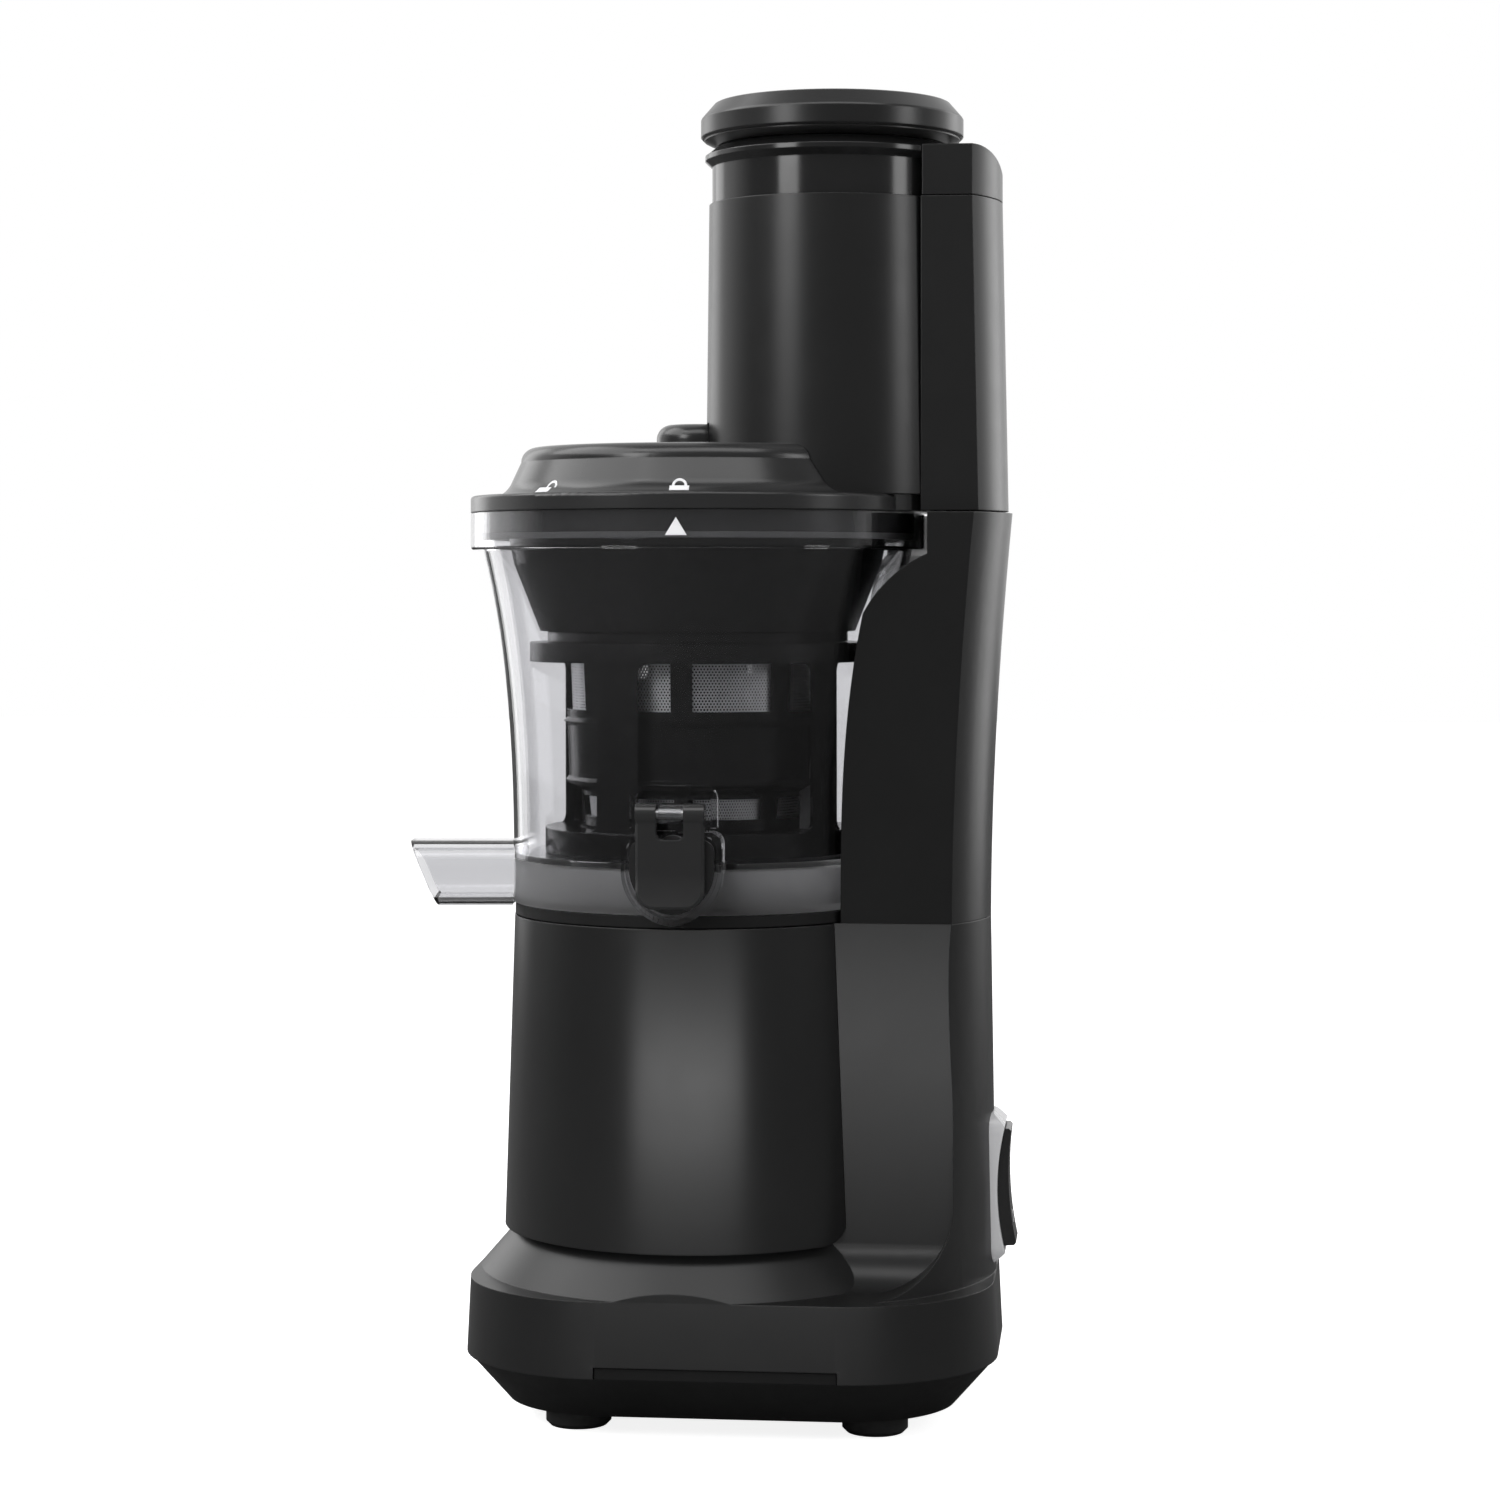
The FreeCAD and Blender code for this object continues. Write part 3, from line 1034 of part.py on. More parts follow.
def make_tap():
    across = V(1, 0, 0)
    w = LEVER_HALF_WIDTH
    top = PIN_Z + LEVER_EAR_RADIUS / 2
    low = LEVER_BOTTOM_Z
    face = -LEVER_FRONT_Y
    toe = face - LEVER_KICK
    heel = low + LEVER_KICK_HEIGHT
    outline = rounded_front(w, top, low, LEVER_CORNER, toe, -LEVER_BACK_Y)
    side = prism_along_x([
        (-LEVER_BACK_Y, low),
        (toe, low),
        ((face - LEVER_KICK / 4, (low + heel) / 2), (face, heel)),
        (face, top),
        (-LEVER_BACK_Y, top),
    ], -w, w)
    plate = outline.common(side)
    n = NOTCH_HALF_WIDTH
    head = PIN_Z + 2 * LEVER_EAR_RADIUS
    ears = Part.makeCylinder(LEVER_EAR_RADIUS, 2 * w, V(-w, -PIN_Y, PIN_Z), across)
    notch = rounded_front(n, head, NOTCH_BOTTOM_Z, n / 2, toe - CUT_PAST, -TAP_FLOOR_Y)
    bore = Part.makeCylinder(PIN_RADIUS + RUN_FIT, 2 * w, V(-w, -PIN_Y, PIN_Z), across)
    flap_front = -TAP_FRONT_Y + FLAP_SET_BACK
    flap_back = flap_front + FLAP_THICK
    flap = prism_along_y(shield_outline(TAP_RIM + SWING_FIT), flap_front, flap_back)
    web = rounded_front(w - LEVER_CORNER, OUTLET_Z, heel, LEVER_CORNER / 2, -LEVER_BACK_Y, flap_front)
    lever = bevelled(plate, face).fuse(ears).cut(notch).cut(bore)
    keep("tap_lever", lever.fuse([flap, web]).removeSplitter())
    keep("tap_pin", Part.makeCylinder(PIN_RADIUS, 2 * w, V(-w, -PIN_Y, PIN_Z), across))
    plug = -TAP_FLOOR_Y - SLIDE_FIT - flap_back
    keep("tap_seal", Part.makeCylinder(TAP_SEAL_RADIUS, plug, V(0, flap_back, OUTLET_Z), V(0, 1, 0)))


def bevelled(plate, face):
    """Plate with its front edges bevelled."""
    front = [e for e in plate.Edges if e.BoundBox.YMax < face + CUT_PAST / 2]
    return plate.makeChamfer(LEVER_BEVEL, front)


# Gear train between the auger and the brush cage

def involute(angle):
    return math.tan(angle) - angle


def gear_outline(teeth, phase, addendum, dedendum, thinning, z):
    """Outline of a spur gear with straight-sided involute teeth; thinning widens the gaps."""
    pitch_radius = GEAR_MODULE * teeth / 2
    pressure = math.radians(PRESSURE_ANGLE)
    base = pitch_radius * math.cos(pressure)
    tip = pitch_radius + addendum * GEAR_MODULE
    root = pitch_radius - dedendum * GEAR_MODULE
    half = math.pi / (2 * teeth) - thinning / (2 * pitch_radius)

    def spread(radius):
        """Half the tooth's angle at a radius."""
        return half + involute(pressure) - involute(math.acos(min(1.0, base / radius)))

    flank = [(root, spread(max(root, base))), (pitch_radius, spread(pitch_radius)), (tip, spread(tip))]
    points = []
    for i in range(teeth):
        middle = math.radians(phase) + 2 * math.pi * i / teeth
        sides = [(r, middle - a) for r, a in flank] + [(r, middle + a) for r, a in reversed(flank)]
        points.extend(V(r * math.cos(a), r * math.sin(a), z) for r, a in sides)
    return wire_of(points)


def gear_solid(teeth, phase, addendum, dedendum, thinning):
    wire = gear_outline(teeth, phase, addendum, dedendum, thinning, GEAR_BOTTOM_Z)
    return Part.Face(wire).extrude(V(0, 0, GEAR_HEIGHT))


def idler_distance():
    return GEAR_MODULE * (SUN_TEETH + IDLER_TEETH) / 2


def idler_phase(place):
    """Turn of an idler that puts one of its gaps on the sun's tooth at that place."""
    sun_share = place * SUN_TEETH / 360
    return place + 180 - (0.5 - sun_share) * 360 / IDLER_TEETH


def ring_phase():
    """Turn of the ring that puts one of its gaps on the first idler's outer tooth."""
    place = IDLER_ANGLES[0]
    share = (place - idler_phase(place)) * IDLER_TEETH / 360
    return place - share * 360 / RING_TEETH


def make_idlers():
    pins = []
    for number, place in enumerate(IDLER_ANGLES, 1):
        at = polar(idler_distance(), place)
        gear = gear_solid(IDLER_TEETH, idler_phase(place), ADDENDUM, DEDENDUM, GEAR_BACKLASH)
        gear = gear.cut(rod(IDLER_PIN_RADIUS + RUN_FIT, GEAR_BOTTOM_Z, GEAR_TOP_Z))
        gear.translate(at)
        keep("idler_gear_%d" % number, gear)
        pins.append(rod(IDLER_PIN_RADIUS, JUICE_FLOOR_Z, STRAINER_FLOOR_Z, at.x, at.y))
    keep("idler_pins", *pins)


# Strainer basket and its steel mesh

def strainer_outer_profile(offset=0.0):
    """Outside of the basket from its foot to under its rim, as (radius, z) points."""
    step = STRAINER_STEP_Z
    band = STRAINER_BAND_Z
    low = STRAINER_LOW_RADIUS + offset
    mid = STRAINER_BAND_RADIUS + offset
    top = STRAINER_TOP_RADIUS + offset
    bead = STRAINER_BEAD
    return [
        (low, STRAINER_FLOOR_Z),
        (low + bead, step - 2 * bead),
        (mid, step),
        (mid + bead, step + bead),
        (mid, step + 2 * bead),
        (mid + bead / 2, band - bead),
        (top, band),
        (mid + bead / 2, band + bead),
        (top, STRAINER_TOP_Z),
    ]


def make_strainer():
    outer = strainer_outer_profile()
    rim_top = STRAINER_RIM_Z
    rim = [(STRAINER_RIM_RADIUS, STRAINER_TOP_Z), (STRAINER_RIM_RADIUS, rim_top)]
    basket = turned([(0, STRAINER_FLOOR_Z)] + outer + rim + [(0, rim_top)])
    floor_top = STRAINER_FLOOR_Z + STRAINER_FLOOR_THICK
    low_bore = STRAINER_LOW_RADIUS - STRAINER_WALL
    mid_bore = STRAINER_BAND_RADIUS - STRAINER_WALL
    top_bore = STRAINER_TOP_RADIUS - STRAINER_WALL
    step = STRAINER_STEP_Z
    inside = turned([(0, floor_top), (low_bore, floor_top), (low_bore + STRAINER_BEAD, step - STRAINER_WALL),
                     (mid_bore, step + STRAINER_WALL), (top_bore, rim_top), (0, rim_top)])
    basket = basket.cut(inside).cut(rod(AUGER_HUB_RADIUS + LIFT_FIT, STRAINER_FLOOR_Z, floor_top))
    port_at = polar(PULP_PORT_REACH, SPOUT_ANGLE)
    basket = basket.cut(rod(PULP_PORT_RADIUS, STRAINER_FLOOR_Z, floor_top, port_at.x, port_at.y))

    land = STRAINER_WALL
    low_window = (floor_top + land, step - 2 * land)
    high_window = (STRAINER_BAND_Z + 2 * land, CAGE_RING_BOTTOM_Z)
    share = 360 / STRAINER_PANELS
    for z0, z1 in (low_window, high_window):
        for i in range(STRAINER_PANELS):
            wedge = Part.makeCylinder(STRAINER_RIM_RADIUS, z1 - z0, V(0, 0, z0), UP, share - PANEL_RIB_ANGLE)
            wedge = about_axis(wedge, i * share + PANEL_RIB_ANGLE / 2)
            basket = basket.cut(wedge)
    keep("strainer_basket", basket)

    low_slope = STRAINER_BEAD / (step - STRAINER_WALL - floor_top)
    high_slope = (top_bore - mid_bore) / (rim_top - step - STRAINER_WALL)
    sheets = []
    for (z0, z1), (r, z, slope) in ((low_window, (low_bore, floor_top, low_slope)),
                                    (high_window, (mid_bore, step + STRAINER_WALL, high_slope))):
        ends = [(r + (level - z) * slope - RUN_FIT, level) for level in (z0 - land / 2, z1 + land / 2)]
        thin = [(radius - MESH_THICK, level) for radius, level in reversed(ends)]
        sheets.append(turned(ends + thin))
    keep("strainer_mesh", *sheets)


# Brush cage that turns round the strainer

def cage_window(angle):
    """Opening between two arms, with rounded corners, as a cutter that runs out from the axis."""
    arm_half = math.degrees(CAGE_ARM_WIDTH / CAGE_ARM_RADIUS) / 2
    half = CAGE_ARM_RADIUS * math.sin(math.radians(180 / CAGE_ARMS - arm_half))
    low = CAGE_FOOT_TOP_Z
    high = CAGE_RING_BOTTOM_Z
    f = CAGE_FILLET
    b = bend(f)
    cutter = prism_along_x([
        (-half + f, low),
        (half - f, low),
        ((half - b, low + b), (half, low + f)),
        (half, high - f),
        ((half - b, high - b), (half - f, high)),
        (-half + f, high),
        ((-half + b, high - b), (-half, high - f)),
        (-half, low + f),
        ((-half + b, low + b), (-half + f, low)),
    ], 0, CAGE_ARM_RADIUS + CUT_PAST)
    return about_axis(cutter, angle)


def make_cage():
    foot = rod(CAGE_FOOT_RADIUS, GEAR_BOTTOM_Z, CAGE_FOOT_TOP_Z)
    ring_void = gear_solid(RING_TEETH, ring_phase(), DEDENDUM, ADDENDUM, -GEAR_BACKLASH)
    clear_bore = STRAINER_LOW_RADIUS + SLIDE_FIT + STRAINER_WALL
    foot = foot.cut(ring_void).cut(rod(clear_bore, GEAR_TOP_Z, CAGE_FOOT_TOP_Z))
    arm_bore = CAGE_ARM_RADIUS - CAGE_ARM_THICK
    ring = tube(CAGE_RING_RADIUS, arm_bore, CAGE_RING_BOTTOM_Z, CAGE_RING_TOP_Z)
    wall = tube(CAGE_ARM_RADIUS, arm_bore, CAGE_FOOT_TOP_Z, CAGE_RING_BOTTOM_Z)
    envelope = turned([(0, CAGE_FOOT_TOP_Z)] + strainer_outer_profile(BLADE_GAP)[1:] + [(0, STRAINER_TOP_Z)])
    share = 360 / CAGE_ARMS
    blades = []
    for i in range(CAGE_ARMS):
        angle = CAGE_ARM_START + i * share
        wall = wall.cut(cage_window(angle + share / 2))
        strip = block(clear_bore, CAGE_ARM_RADIUS, -BLADE_THICK / 2, BLADE_THICK / 2,
                      CAGE_FOOT_TOP_Z + SLIDE_FIT, CAGE_RING_BOTTOM_Z)
        strip = strip.common(rod(arm_bore, CAGE_FOOT_TOP_Z, CAGE_RING_BOTTOM_Z))
        blades.append(about_axis(strip, angle).cut(envelope))
    keep("brush_cage", foot.fuse([wall, ring]))
    keep("wiper_blades", *blades)


# Auger with helical flights

def make_auger():
    hub_top = STRAINER_FLOOR_Z + STRAINER_FLOOR_THICK + LIFT_FIT
    gear_top = GEAR_TOP_Z
    stem = HUB_BORE - RUN_FIT
    stem_low = BOWL_BOTTOM_Z + BOWL_FLOOR + LIFT_FIT
    core = turned([(0, stem_low), (stem, stem_low), (stem, gear_top),
                   (AUGER_HUB_RADIUS, gear_top), (AUGER_HUB_RADIUS, hub_top), (AUGER_CORE_LOW_RADIUS, hub_top),
                   (AUGER_CORE_LOW_RADIUS, FLIGHT_BOTTOM_Z + FLIGHT_THICK),
                   (AUGER_CORE_TOP_RADIUS, AUGER_TOP_Z), (AUGER_PIN_RADIUS, AUGER_TOP_Z + AUGER_PIN_RADIUS),
                   (AUGER_PIN_RADIUS, AUGER_PIN_TOP_Z), (0, AUGER_PIN_TOP_Z)])
    sun = gear_solid(SUN_TEETH, 0.0, ADDENDUM, DEDENDUM, GEAR_BACKLASH)

    low_reach = STRAINER_LOW_RADIUS - STRAINER_WALL - MESH_THICK - FLIGHT_GAP
    mid_reach = STRAINER_BAND_RADIUS - STRAINER_WALL - MESH_THICK - FLIGHT_GAP
    step = STRAINER_STEP_Z
    envelope = turned([(0, FLIGHT_BOTTOM_Z), (low_reach, FLIGHT_BOTTOM_Z), (low_reach, step),
                       (mid_reach, step + 2 * STRAINER_WALL), (mid_reach, STRAINER_TOP_Z),
                       (AUGER_CORE_TOP_RADIUS, FLIGHT_TOP_Z), (0, FLIGHT_TOP_Z)])
    height = FLIGHT_TOP_Z - FLIGHT_BOTTOM_Z
    path_radius = AUGER_CORE_LOW_RADIUS / 2
    half = FLIGHT_THICK / 2
    outer = mid_reach + FLIGHT_THICK
    helix = Part.Wire(Part.makeHelix(FLIGHT_PITCH, height, path_radius).Edges)
    section = wire_of([V(AUGER_CORE_TOP_RADIUS / 2, 0, -half), V(outer, 0, -half), V(outer, 0, half),
                       V(AUGER_CORE_TOP_RADIUS / 2, 0, half)])
    flight = helix.makePipeShell([section], True, True)
    flight.translate(V(0, 0, FLIGHT_BOTTOM_Z))
    flights = [about_axis(flight, i * 360 / FLIGHT_STARTS).common(envelope) for i in range(FLIGHT_STARTS)]
    auger = core.fuse([sun] + flights)
    socket = hexagon(HEX_FLATS + 2 * COVER_FIT, stem_low, HEX_TOP_Z + LIFT_FIT)
    keep("auger", auger.cut(socket))


# Lid, hopper and the bush for the auger's top pin

def lid_step(inset):
    """Space above the lid's lower shelf beside the chute, sunk by an inset."""
    x = LID_STEP_X - inset
    b = bend(LID_STEP_RADIUS)
    shelf = LID_STEP_Z - inset
    past = LID_TOP_Z + CUT_PAST
    return prism_along_y([
        (x, past),
        ((x + b, shelf + b / 2), (x + LID_STEP_RADIUS, shelf)),
        (COLLAR_RADIUS, LID_FLANGE_TOP_Z - inset),
        (COLLAR_RADIUS, past),
    ], -COLLAR_RADIUS, COLLAR_RADIUS)


def make_lid():
    plateau = LID_PLATEAU_RADIUS
    foot = LID_FOOT_RADIUS
    edge = LID_EDGE_RADIUS
    b = bend(edge)
    slope_top = (plateau + edge, LID_TOP_Z - edge)
    slope_low = (foot - edge, LID_FLANGE_TOP_Z + edge)
    sweep = (foot - LID_SWEEP * b, LID_FLANGE_TOP_Z + b)
    shoulder = (plateau + edge - b, LID_TOP_Z - b)
    dome = turned([(0, LID_FLANGE_Z), (foot, LID_FLANGE_Z), (foot, LID_FLANGE_TOP_Z), (sweep, slope_low),
                   slope_top, (shoulder, (plateau, LID_TOP_Z)), (0, LID_TOP_Z)])
    rim = COLLAR_RADIUS
    rim_edge = FLANGE_EDGE
    rim_bend = bend(rim_edge)
    flange = turned([(0, LID_FLANGE_Z), (rim, LID_FLANGE_Z), (rim, LID_FLANGE_TOP_Z - rim_edge),
                     ((rim - rim_bend, LID_FLANGE_TOP_Z - rim_bend), (rim - rim_edge, LID_FLANGE_TOP_Z)),
                     (0, LID_FLANGE_TOP_Z)])
    boss = turned([(0, LID_FLANGE_TOP_Z), (BOSS_RADIUS, LID_FLANGE_TOP_Z), (BOSS_RADIUS, BOSS_TOP_Z - edge),
                   ((BOSS_RADIUS - b, BOSS_TOP_Z - b), (BOSS_RADIUS - edge, BOSS_TOP_Z)), (0, BOSS_TOP_Z)])
    skirt_radius = COLLAR_RADIUS - COLLAR_WALL - LIFT_FIT
    ledge_z = BOWL_COLLAR_Z + COLLAR_WALL
    skirt_low = ledge_z + SLIDE_FIT + GASKET_THICK
    skirt = rod(skirt_radius, skirt_low, LID_FLANGE_TOP_Z - rim_edge)
    sleeve_room = rod(SLEEVE_LOW_RADIUS + COVER_FIT, LID_FLANGE_TOP_Z, CHUTE_TOP_Z, CHUTE_X)
    body = dome.cut(lid_step(0.0)).fuse([flange, skirt]).cut(sleeve_room).fuse(boss)

    ceiling = LID_TOP_Z - LID_WALL
    inner_foot = skirt_radius - LID_SKIRT_WALL
    hollow = turned([(0, skirt_low), (inner_foot, skirt_low), (inner_foot, LID_FLANGE_Z),
                     (foot - edge, LID_FLANGE_Z), (plateau - LID_WALL, ceiling), (0, ceiling)])
    chute_hole = rod(CHUTE_RADIUS + COVER_FIT, LID_FLANGE_Z, CHUTE_TOP_Z, CHUTE_X)
    bush_room = rod(BUSH_RADIUS + RUN_FIT, ceiling - LID_WALL, BUSH_TOP_Z)
    for cut in (hollow.cut(lid_step(LID_WALL)), chute_hole, bush_room):
        body = body.cut(cut)
    keep("lid", body)
    keep("lid_gasket", tube(skirt_radius, inner_foot, ledge_z + SLIDE_FIT, skirt_low))

    bush_low = LID_FLANGE_Z - LID_WALL
    pin_bore = rod(AUGER_PIN_RADIUS + RUN_FIT, bush_low, AUGER_PIN_TOP_Z + LIFT_FIT)
    keep("auger_bush", rod(BUSH_RADIUS, bush_low, BUSH_TOP_Z).cut(pin_bore))

    low_z = STRAINER_RIM_Z + SLIDE_FIT
    top_z = LID_FLANGE_Z
    wall = HOPPER_WALL
    outside = [(HOPPER_TOP_RADIUS, top_z), (HOPPER_MID_RADIUS, HOPPER_MID_Z), (HOPPER_LOW_RADIUS, low_z)]
    cone = turned(outside + [(radius - wall, z) for radius, z in reversed(outside)])
    keep("hopper_cone", cone)


# Feed chute, its sleeve and the spine over the column

def make_chute():
    seat_z = LID_FLANGE_Z
    lip_z = CHUTE_TOP_Z - LIP_SLOPE
    pipe = turned([(CHUTE_BORE, seat_z), (CHUTE_RADIUS, seat_z), (CHUTE_RADIUS, LIP_BOTTOM_Z),
                   (LIP_RADIUS, lip_z - LIP_EDGE), (LIP_RADIUS, lip_z), (CHUTE_BORE + LIP_LAND, CHUTE_TOP_Z),
                   (CHUTE_BORE, CHUTE_TOP_Z)], CHUTE_X)
    floor = rod(CHUTE_RADIUS, seat_z, seat_z + LID_WALL, CHUTE_X)
    floor = floor.cut(rod(HOPPER_TOP_RADIUS - HOPPER_WALL, seat_z, seat_z + LID_WALL))
    keep("feed_chute", pipe.fuse(floor))

    bore = CHUTE_RADIUS + COVER_FIT
    sleeve = turned([(bore, LID_FLANGE_TOP_Z), (SLEEVE_LOW_RADIUS, LID_FLANGE_TOP_Z),
                     (SLEEVE_TOP_RADIUS, SLEEVE_TOP_Z), (bore, SLEEVE_TOP_Z)], CHUTE_X)
    keep("chute_sleeve", sleeve.cut(rod(BOSS_RADIUS + COVER_FIT, LID_FLANGE_TOP_Z, BOSS_TOP_Z + COVER_FIT)))


def spine_plan(right, z, inset=0.0):
    crease = right - SPINE_CREASE_INSET - inset / 2
    return bowed_plan(CHUTE_X, crease, right - inset, SPINE_HALF_WIDTH - inset, z)


def make_spine():
    low_z = COLUMN_TOP_Z + SPINE_GAP
    outer = loft([spine_plan(SPINE_RIGHT_LOW, low_z), spine_plan(SPINE_RIGHT_TOP, SLEEVE_TOP_Z)])
    floor_z = low_z + SPINE_WALL
    inside = loft([spine_plan(SPINE_RIGHT_LOW, floor_z, SPINE_WALL),
                   spine_plan(SPINE_RIGHT_TOP, SLEEVE_TOP_Z, SPINE_WALL)])
    room = SLEEVE_LOW_RADIUS + COVER_FIT
    sleeve_room = rod(room, low_z, CHUTE_TOP_Z, CHUTE_X)
    sleeve_wall = rod(room + SPINE_WALL, low_z, CHUTE_TOP_Z, CHUTE_X)
    over_lid = rod(COLLAR_RADIUS + SLIDE_FIT, low_z, LID_FLANGE_TOP_Z + COVER_FIT)
    keep("spine_cover", outer.cut(inside.cut(sleeve_wall)).cut(sleeve_room).cut(over_lid))

    cap_low = SLEEVE_TOP_Z + SEAM_GAP
    right = SPINE_RIGHT_TOP
    top = SPINE_CAP_TOP_Z
    corner = SPINE_CAP_CORNER
    b = bend(corner)
    cap = Part.Face(spine_plan(right, cap_low)).extrude(V(0, 0, top - cap_low))
    past = right + CUT_PAST
    side = SPINE_HALF_WIDTH + CUT_PAST
    round_off = prism_along_y([(right - corner, top), ((right - b, top - b), (right, top - corner)),
                               (past, top - corner), (past, top + CUT_PAST), (right - corner, top + CUT_PAST)],
                              -side, side)
    cap = cap.cut(round_off)
    keep("spine_cap", cap.cut(rod(LIP_RADIUS + COVER_FIT, cap_low, top + CUT_PAST, CHUTE_X)))

    keep("lid_magnet", rod(MAGNET_RADIUS, floor_z, floor_z + MAGNET_HEIGHT, MAGNET_X))


# Pusher that fills the chute

def make_pusher():
    barrel_radius = CHUTE_BORE - PUSHER_FIT
    seat = PUSHER_SEAT_Z
    bore = barrel_radius - PUSHER_BARREL_WALL
    groove = barrel_radius - PUSHER_SEAL_DEPTH
    low = PUSHER_BOTTOM_Z
    floor = low + PUSHER_BARREL_WALL
    seal_low = low + PUSHER_SEAL_RISE
    seal_top = seal_low + PUSHER_SEAL_HEIGHT
    barrel = turned([(0, low), (barrel_radius, low), (barrel_radius, seal_low), (groove, seal_low),
                     (groove, seal_top), (barrel_radius, seal_top), (barrel_radius, seat), (bore, seat),
                     (bore, floor), (0, floor)], CHUTE_X)
    keep("pusher_barrel", barrel)
    keep("pusher_seal", tube(barrel_radius + SLIDE_FIT, groove, seal_low, seal_top, CHUTE_X))

    top = PUSHER_TOP_Z
    rim = PUSHER_CAP_RADIUS
    edge = PUSHER_EDGE
    band_top = top - PUSHER_TOP_RISE
    band_low = band_top - PUSHER_BAND
    crown = rim - PUSHER_TOP_BEVEL
    under = [(0, seat), (rim - PUSHER_FOOT_INSET, seat), (rim - 2 * edge, band_low - edge)]
    band = [(rim - 2 * edge, band_low), (rim - edge, band_low), (rim, band_low + edge), (rim, band_top - edge)]
    over = [(rim - edge / 2, band_top), (crown, top - edge / 2), (crown - edge, top), (0, top)]
    cap = turned(under + band + over, CHUTE_X)
    plug = rod(bore - COVER_FIT, seat - PUSHER_PLUG_DEPTH, seat, CHUTE_X)
    keep("pusher_cap", cap.fuse(plug))


def finish():
    """Move every piece so that the origin is under the middle of the whole, then write one file for each."""
    box = Part.makeCompound(list(pieces.values())).optimalBoundingBox(False, False)
    shift = V(-(box.XMin + box.XMax) / 2, -(box.YMin + box.YMax) / 2, -box.ZMin)
    os.makedirs("parts", exist_ok=True)
    for name, shape in pieces.items():
        shape.translate(shift)
        shape.exportStep("parts/%s.step" % name)
    print("shift %.3f %.3f %.3f" % tuple(shift))
    print("size %.2f %.2f %.2f" % (box.XLength, box.YLength, box.ZLength))


make_housing()
make_drum_cover()
make_column()
make_bottom()
make_drive()
make_electrics()
make_switch()
make_bowl()
make_tray()
make_tap()
make_idlers()
make_strainer()
make_cage()
make_auger()
make_lid()
make_chute()
make_spine()
make_pusher()
finish()
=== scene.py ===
import math

import bmesh
import bpy
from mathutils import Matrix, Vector


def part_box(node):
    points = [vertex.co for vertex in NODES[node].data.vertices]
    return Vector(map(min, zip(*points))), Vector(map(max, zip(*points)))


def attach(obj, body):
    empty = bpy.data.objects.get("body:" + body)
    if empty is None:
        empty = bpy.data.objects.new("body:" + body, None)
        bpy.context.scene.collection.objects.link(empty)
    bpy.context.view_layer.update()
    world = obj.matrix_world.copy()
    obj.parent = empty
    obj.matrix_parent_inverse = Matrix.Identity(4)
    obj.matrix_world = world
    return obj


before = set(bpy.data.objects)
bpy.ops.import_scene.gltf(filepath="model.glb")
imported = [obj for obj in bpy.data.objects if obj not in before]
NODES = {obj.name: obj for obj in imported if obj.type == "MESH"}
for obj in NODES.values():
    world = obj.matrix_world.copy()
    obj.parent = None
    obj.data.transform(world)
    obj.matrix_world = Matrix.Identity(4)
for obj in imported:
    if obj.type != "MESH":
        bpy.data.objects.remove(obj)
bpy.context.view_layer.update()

MM = 0.001

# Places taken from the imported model, in metres
GASKET_LOW, GASKET_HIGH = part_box("lid_gasket")
AXIS_X = (GASKET_LOW[0] + GASKET_HIGH[0]) / 2
COLLAR_OVER_GASKET = 3.4 * MM
COLLAR_RADIUS = GASKET_HIGH[1] + COLLAR_OVER_GASKET
COLLAR_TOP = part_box("bowl")[1][2]
TRAY_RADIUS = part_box("pulp_tray")[1][1]
CAGE_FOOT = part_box("brush_cage")[0][2]
MESH_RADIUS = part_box("strainer_mesh")[1][1]
PLATE_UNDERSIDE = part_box("bottom_plate")[0][2]
ROCKER_LOW, ROCKER_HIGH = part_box("power_rocker")
FEET_LOW, FEET_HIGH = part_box("rubber_feet")

# View of the photograph, in metres and degrees
VIEW_TURN = math.radians(6.1)
VIEW_DISTANCE = 1.190
EYE_HEIGHT = 0.276
FRAME_WIDTH = 0.510
SIDE_OFFSET = 0.0177
HORIZON_SHIFT = -0.1087
SENSOR = 36.0
SIDEWAYS = Vector((math.cos(VIEW_TURN), math.sin(VIEW_TURN), 0))
AHEAD = Vector((-math.sin(VIEW_TURN), math.cos(VIEW_TURN), 0))


# Node helpers

def new_material(name):
    material = bpy.data.materials.new(name)
    material.use_nodes = True
    tree = material.node_tree
    return material, tree, tree.nodes["Principled BSDF"]


def place(tree):
    """Position on the piece in the row frame, in metres."""
    return tree.nodes.new("ShaderNodeTexCoord").outputs["Object"]


def noise(tree, scale, detail=3.0, rough=0.55, vector=None):
    node = tree.nodes.new("ShaderNodeTexNoise")
    node.inputs["Scale"].default_value = scale
    node.inputs["Detail"].default_value = detail
    node.inputs["Roughness"].default_value = rough
    tree.links.new(vector if vector else place(tree), node.inputs["Vector"])
    return node.outputs["Fac"]


def spread(tree, value, low, high, start=0.3, end=0.7):
    """Value taken from start to end onto low to high."""
    node = tree.nodes.new("ShaderNodeMapRange")
    node.inputs["From Min"].default_value = start
    node.inputs["From Max"].default_value = end
    node.inputs["To Min"].default_value = low
    node.inputs["To Max"].default_value = high
    tree.links.new(value, node.inputs["Value"])
    return node.outputs["Result"]


def two_colours(tree, value, first, second, start=0.3, end=0.7):
    node = tree.nodes.new("ShaderNodeValToRGB")
    node.color_ramp.elements[0].color = (*first, 1)
    node.color_ramp.elements[1].color = (*second, 1)
    node.color_ramp.elements[0].position = start
    node.color_ramp.elements[1].position = end
    tree.links.new(value, node.inputs["Fac"])
    return node.outputs["Color"]


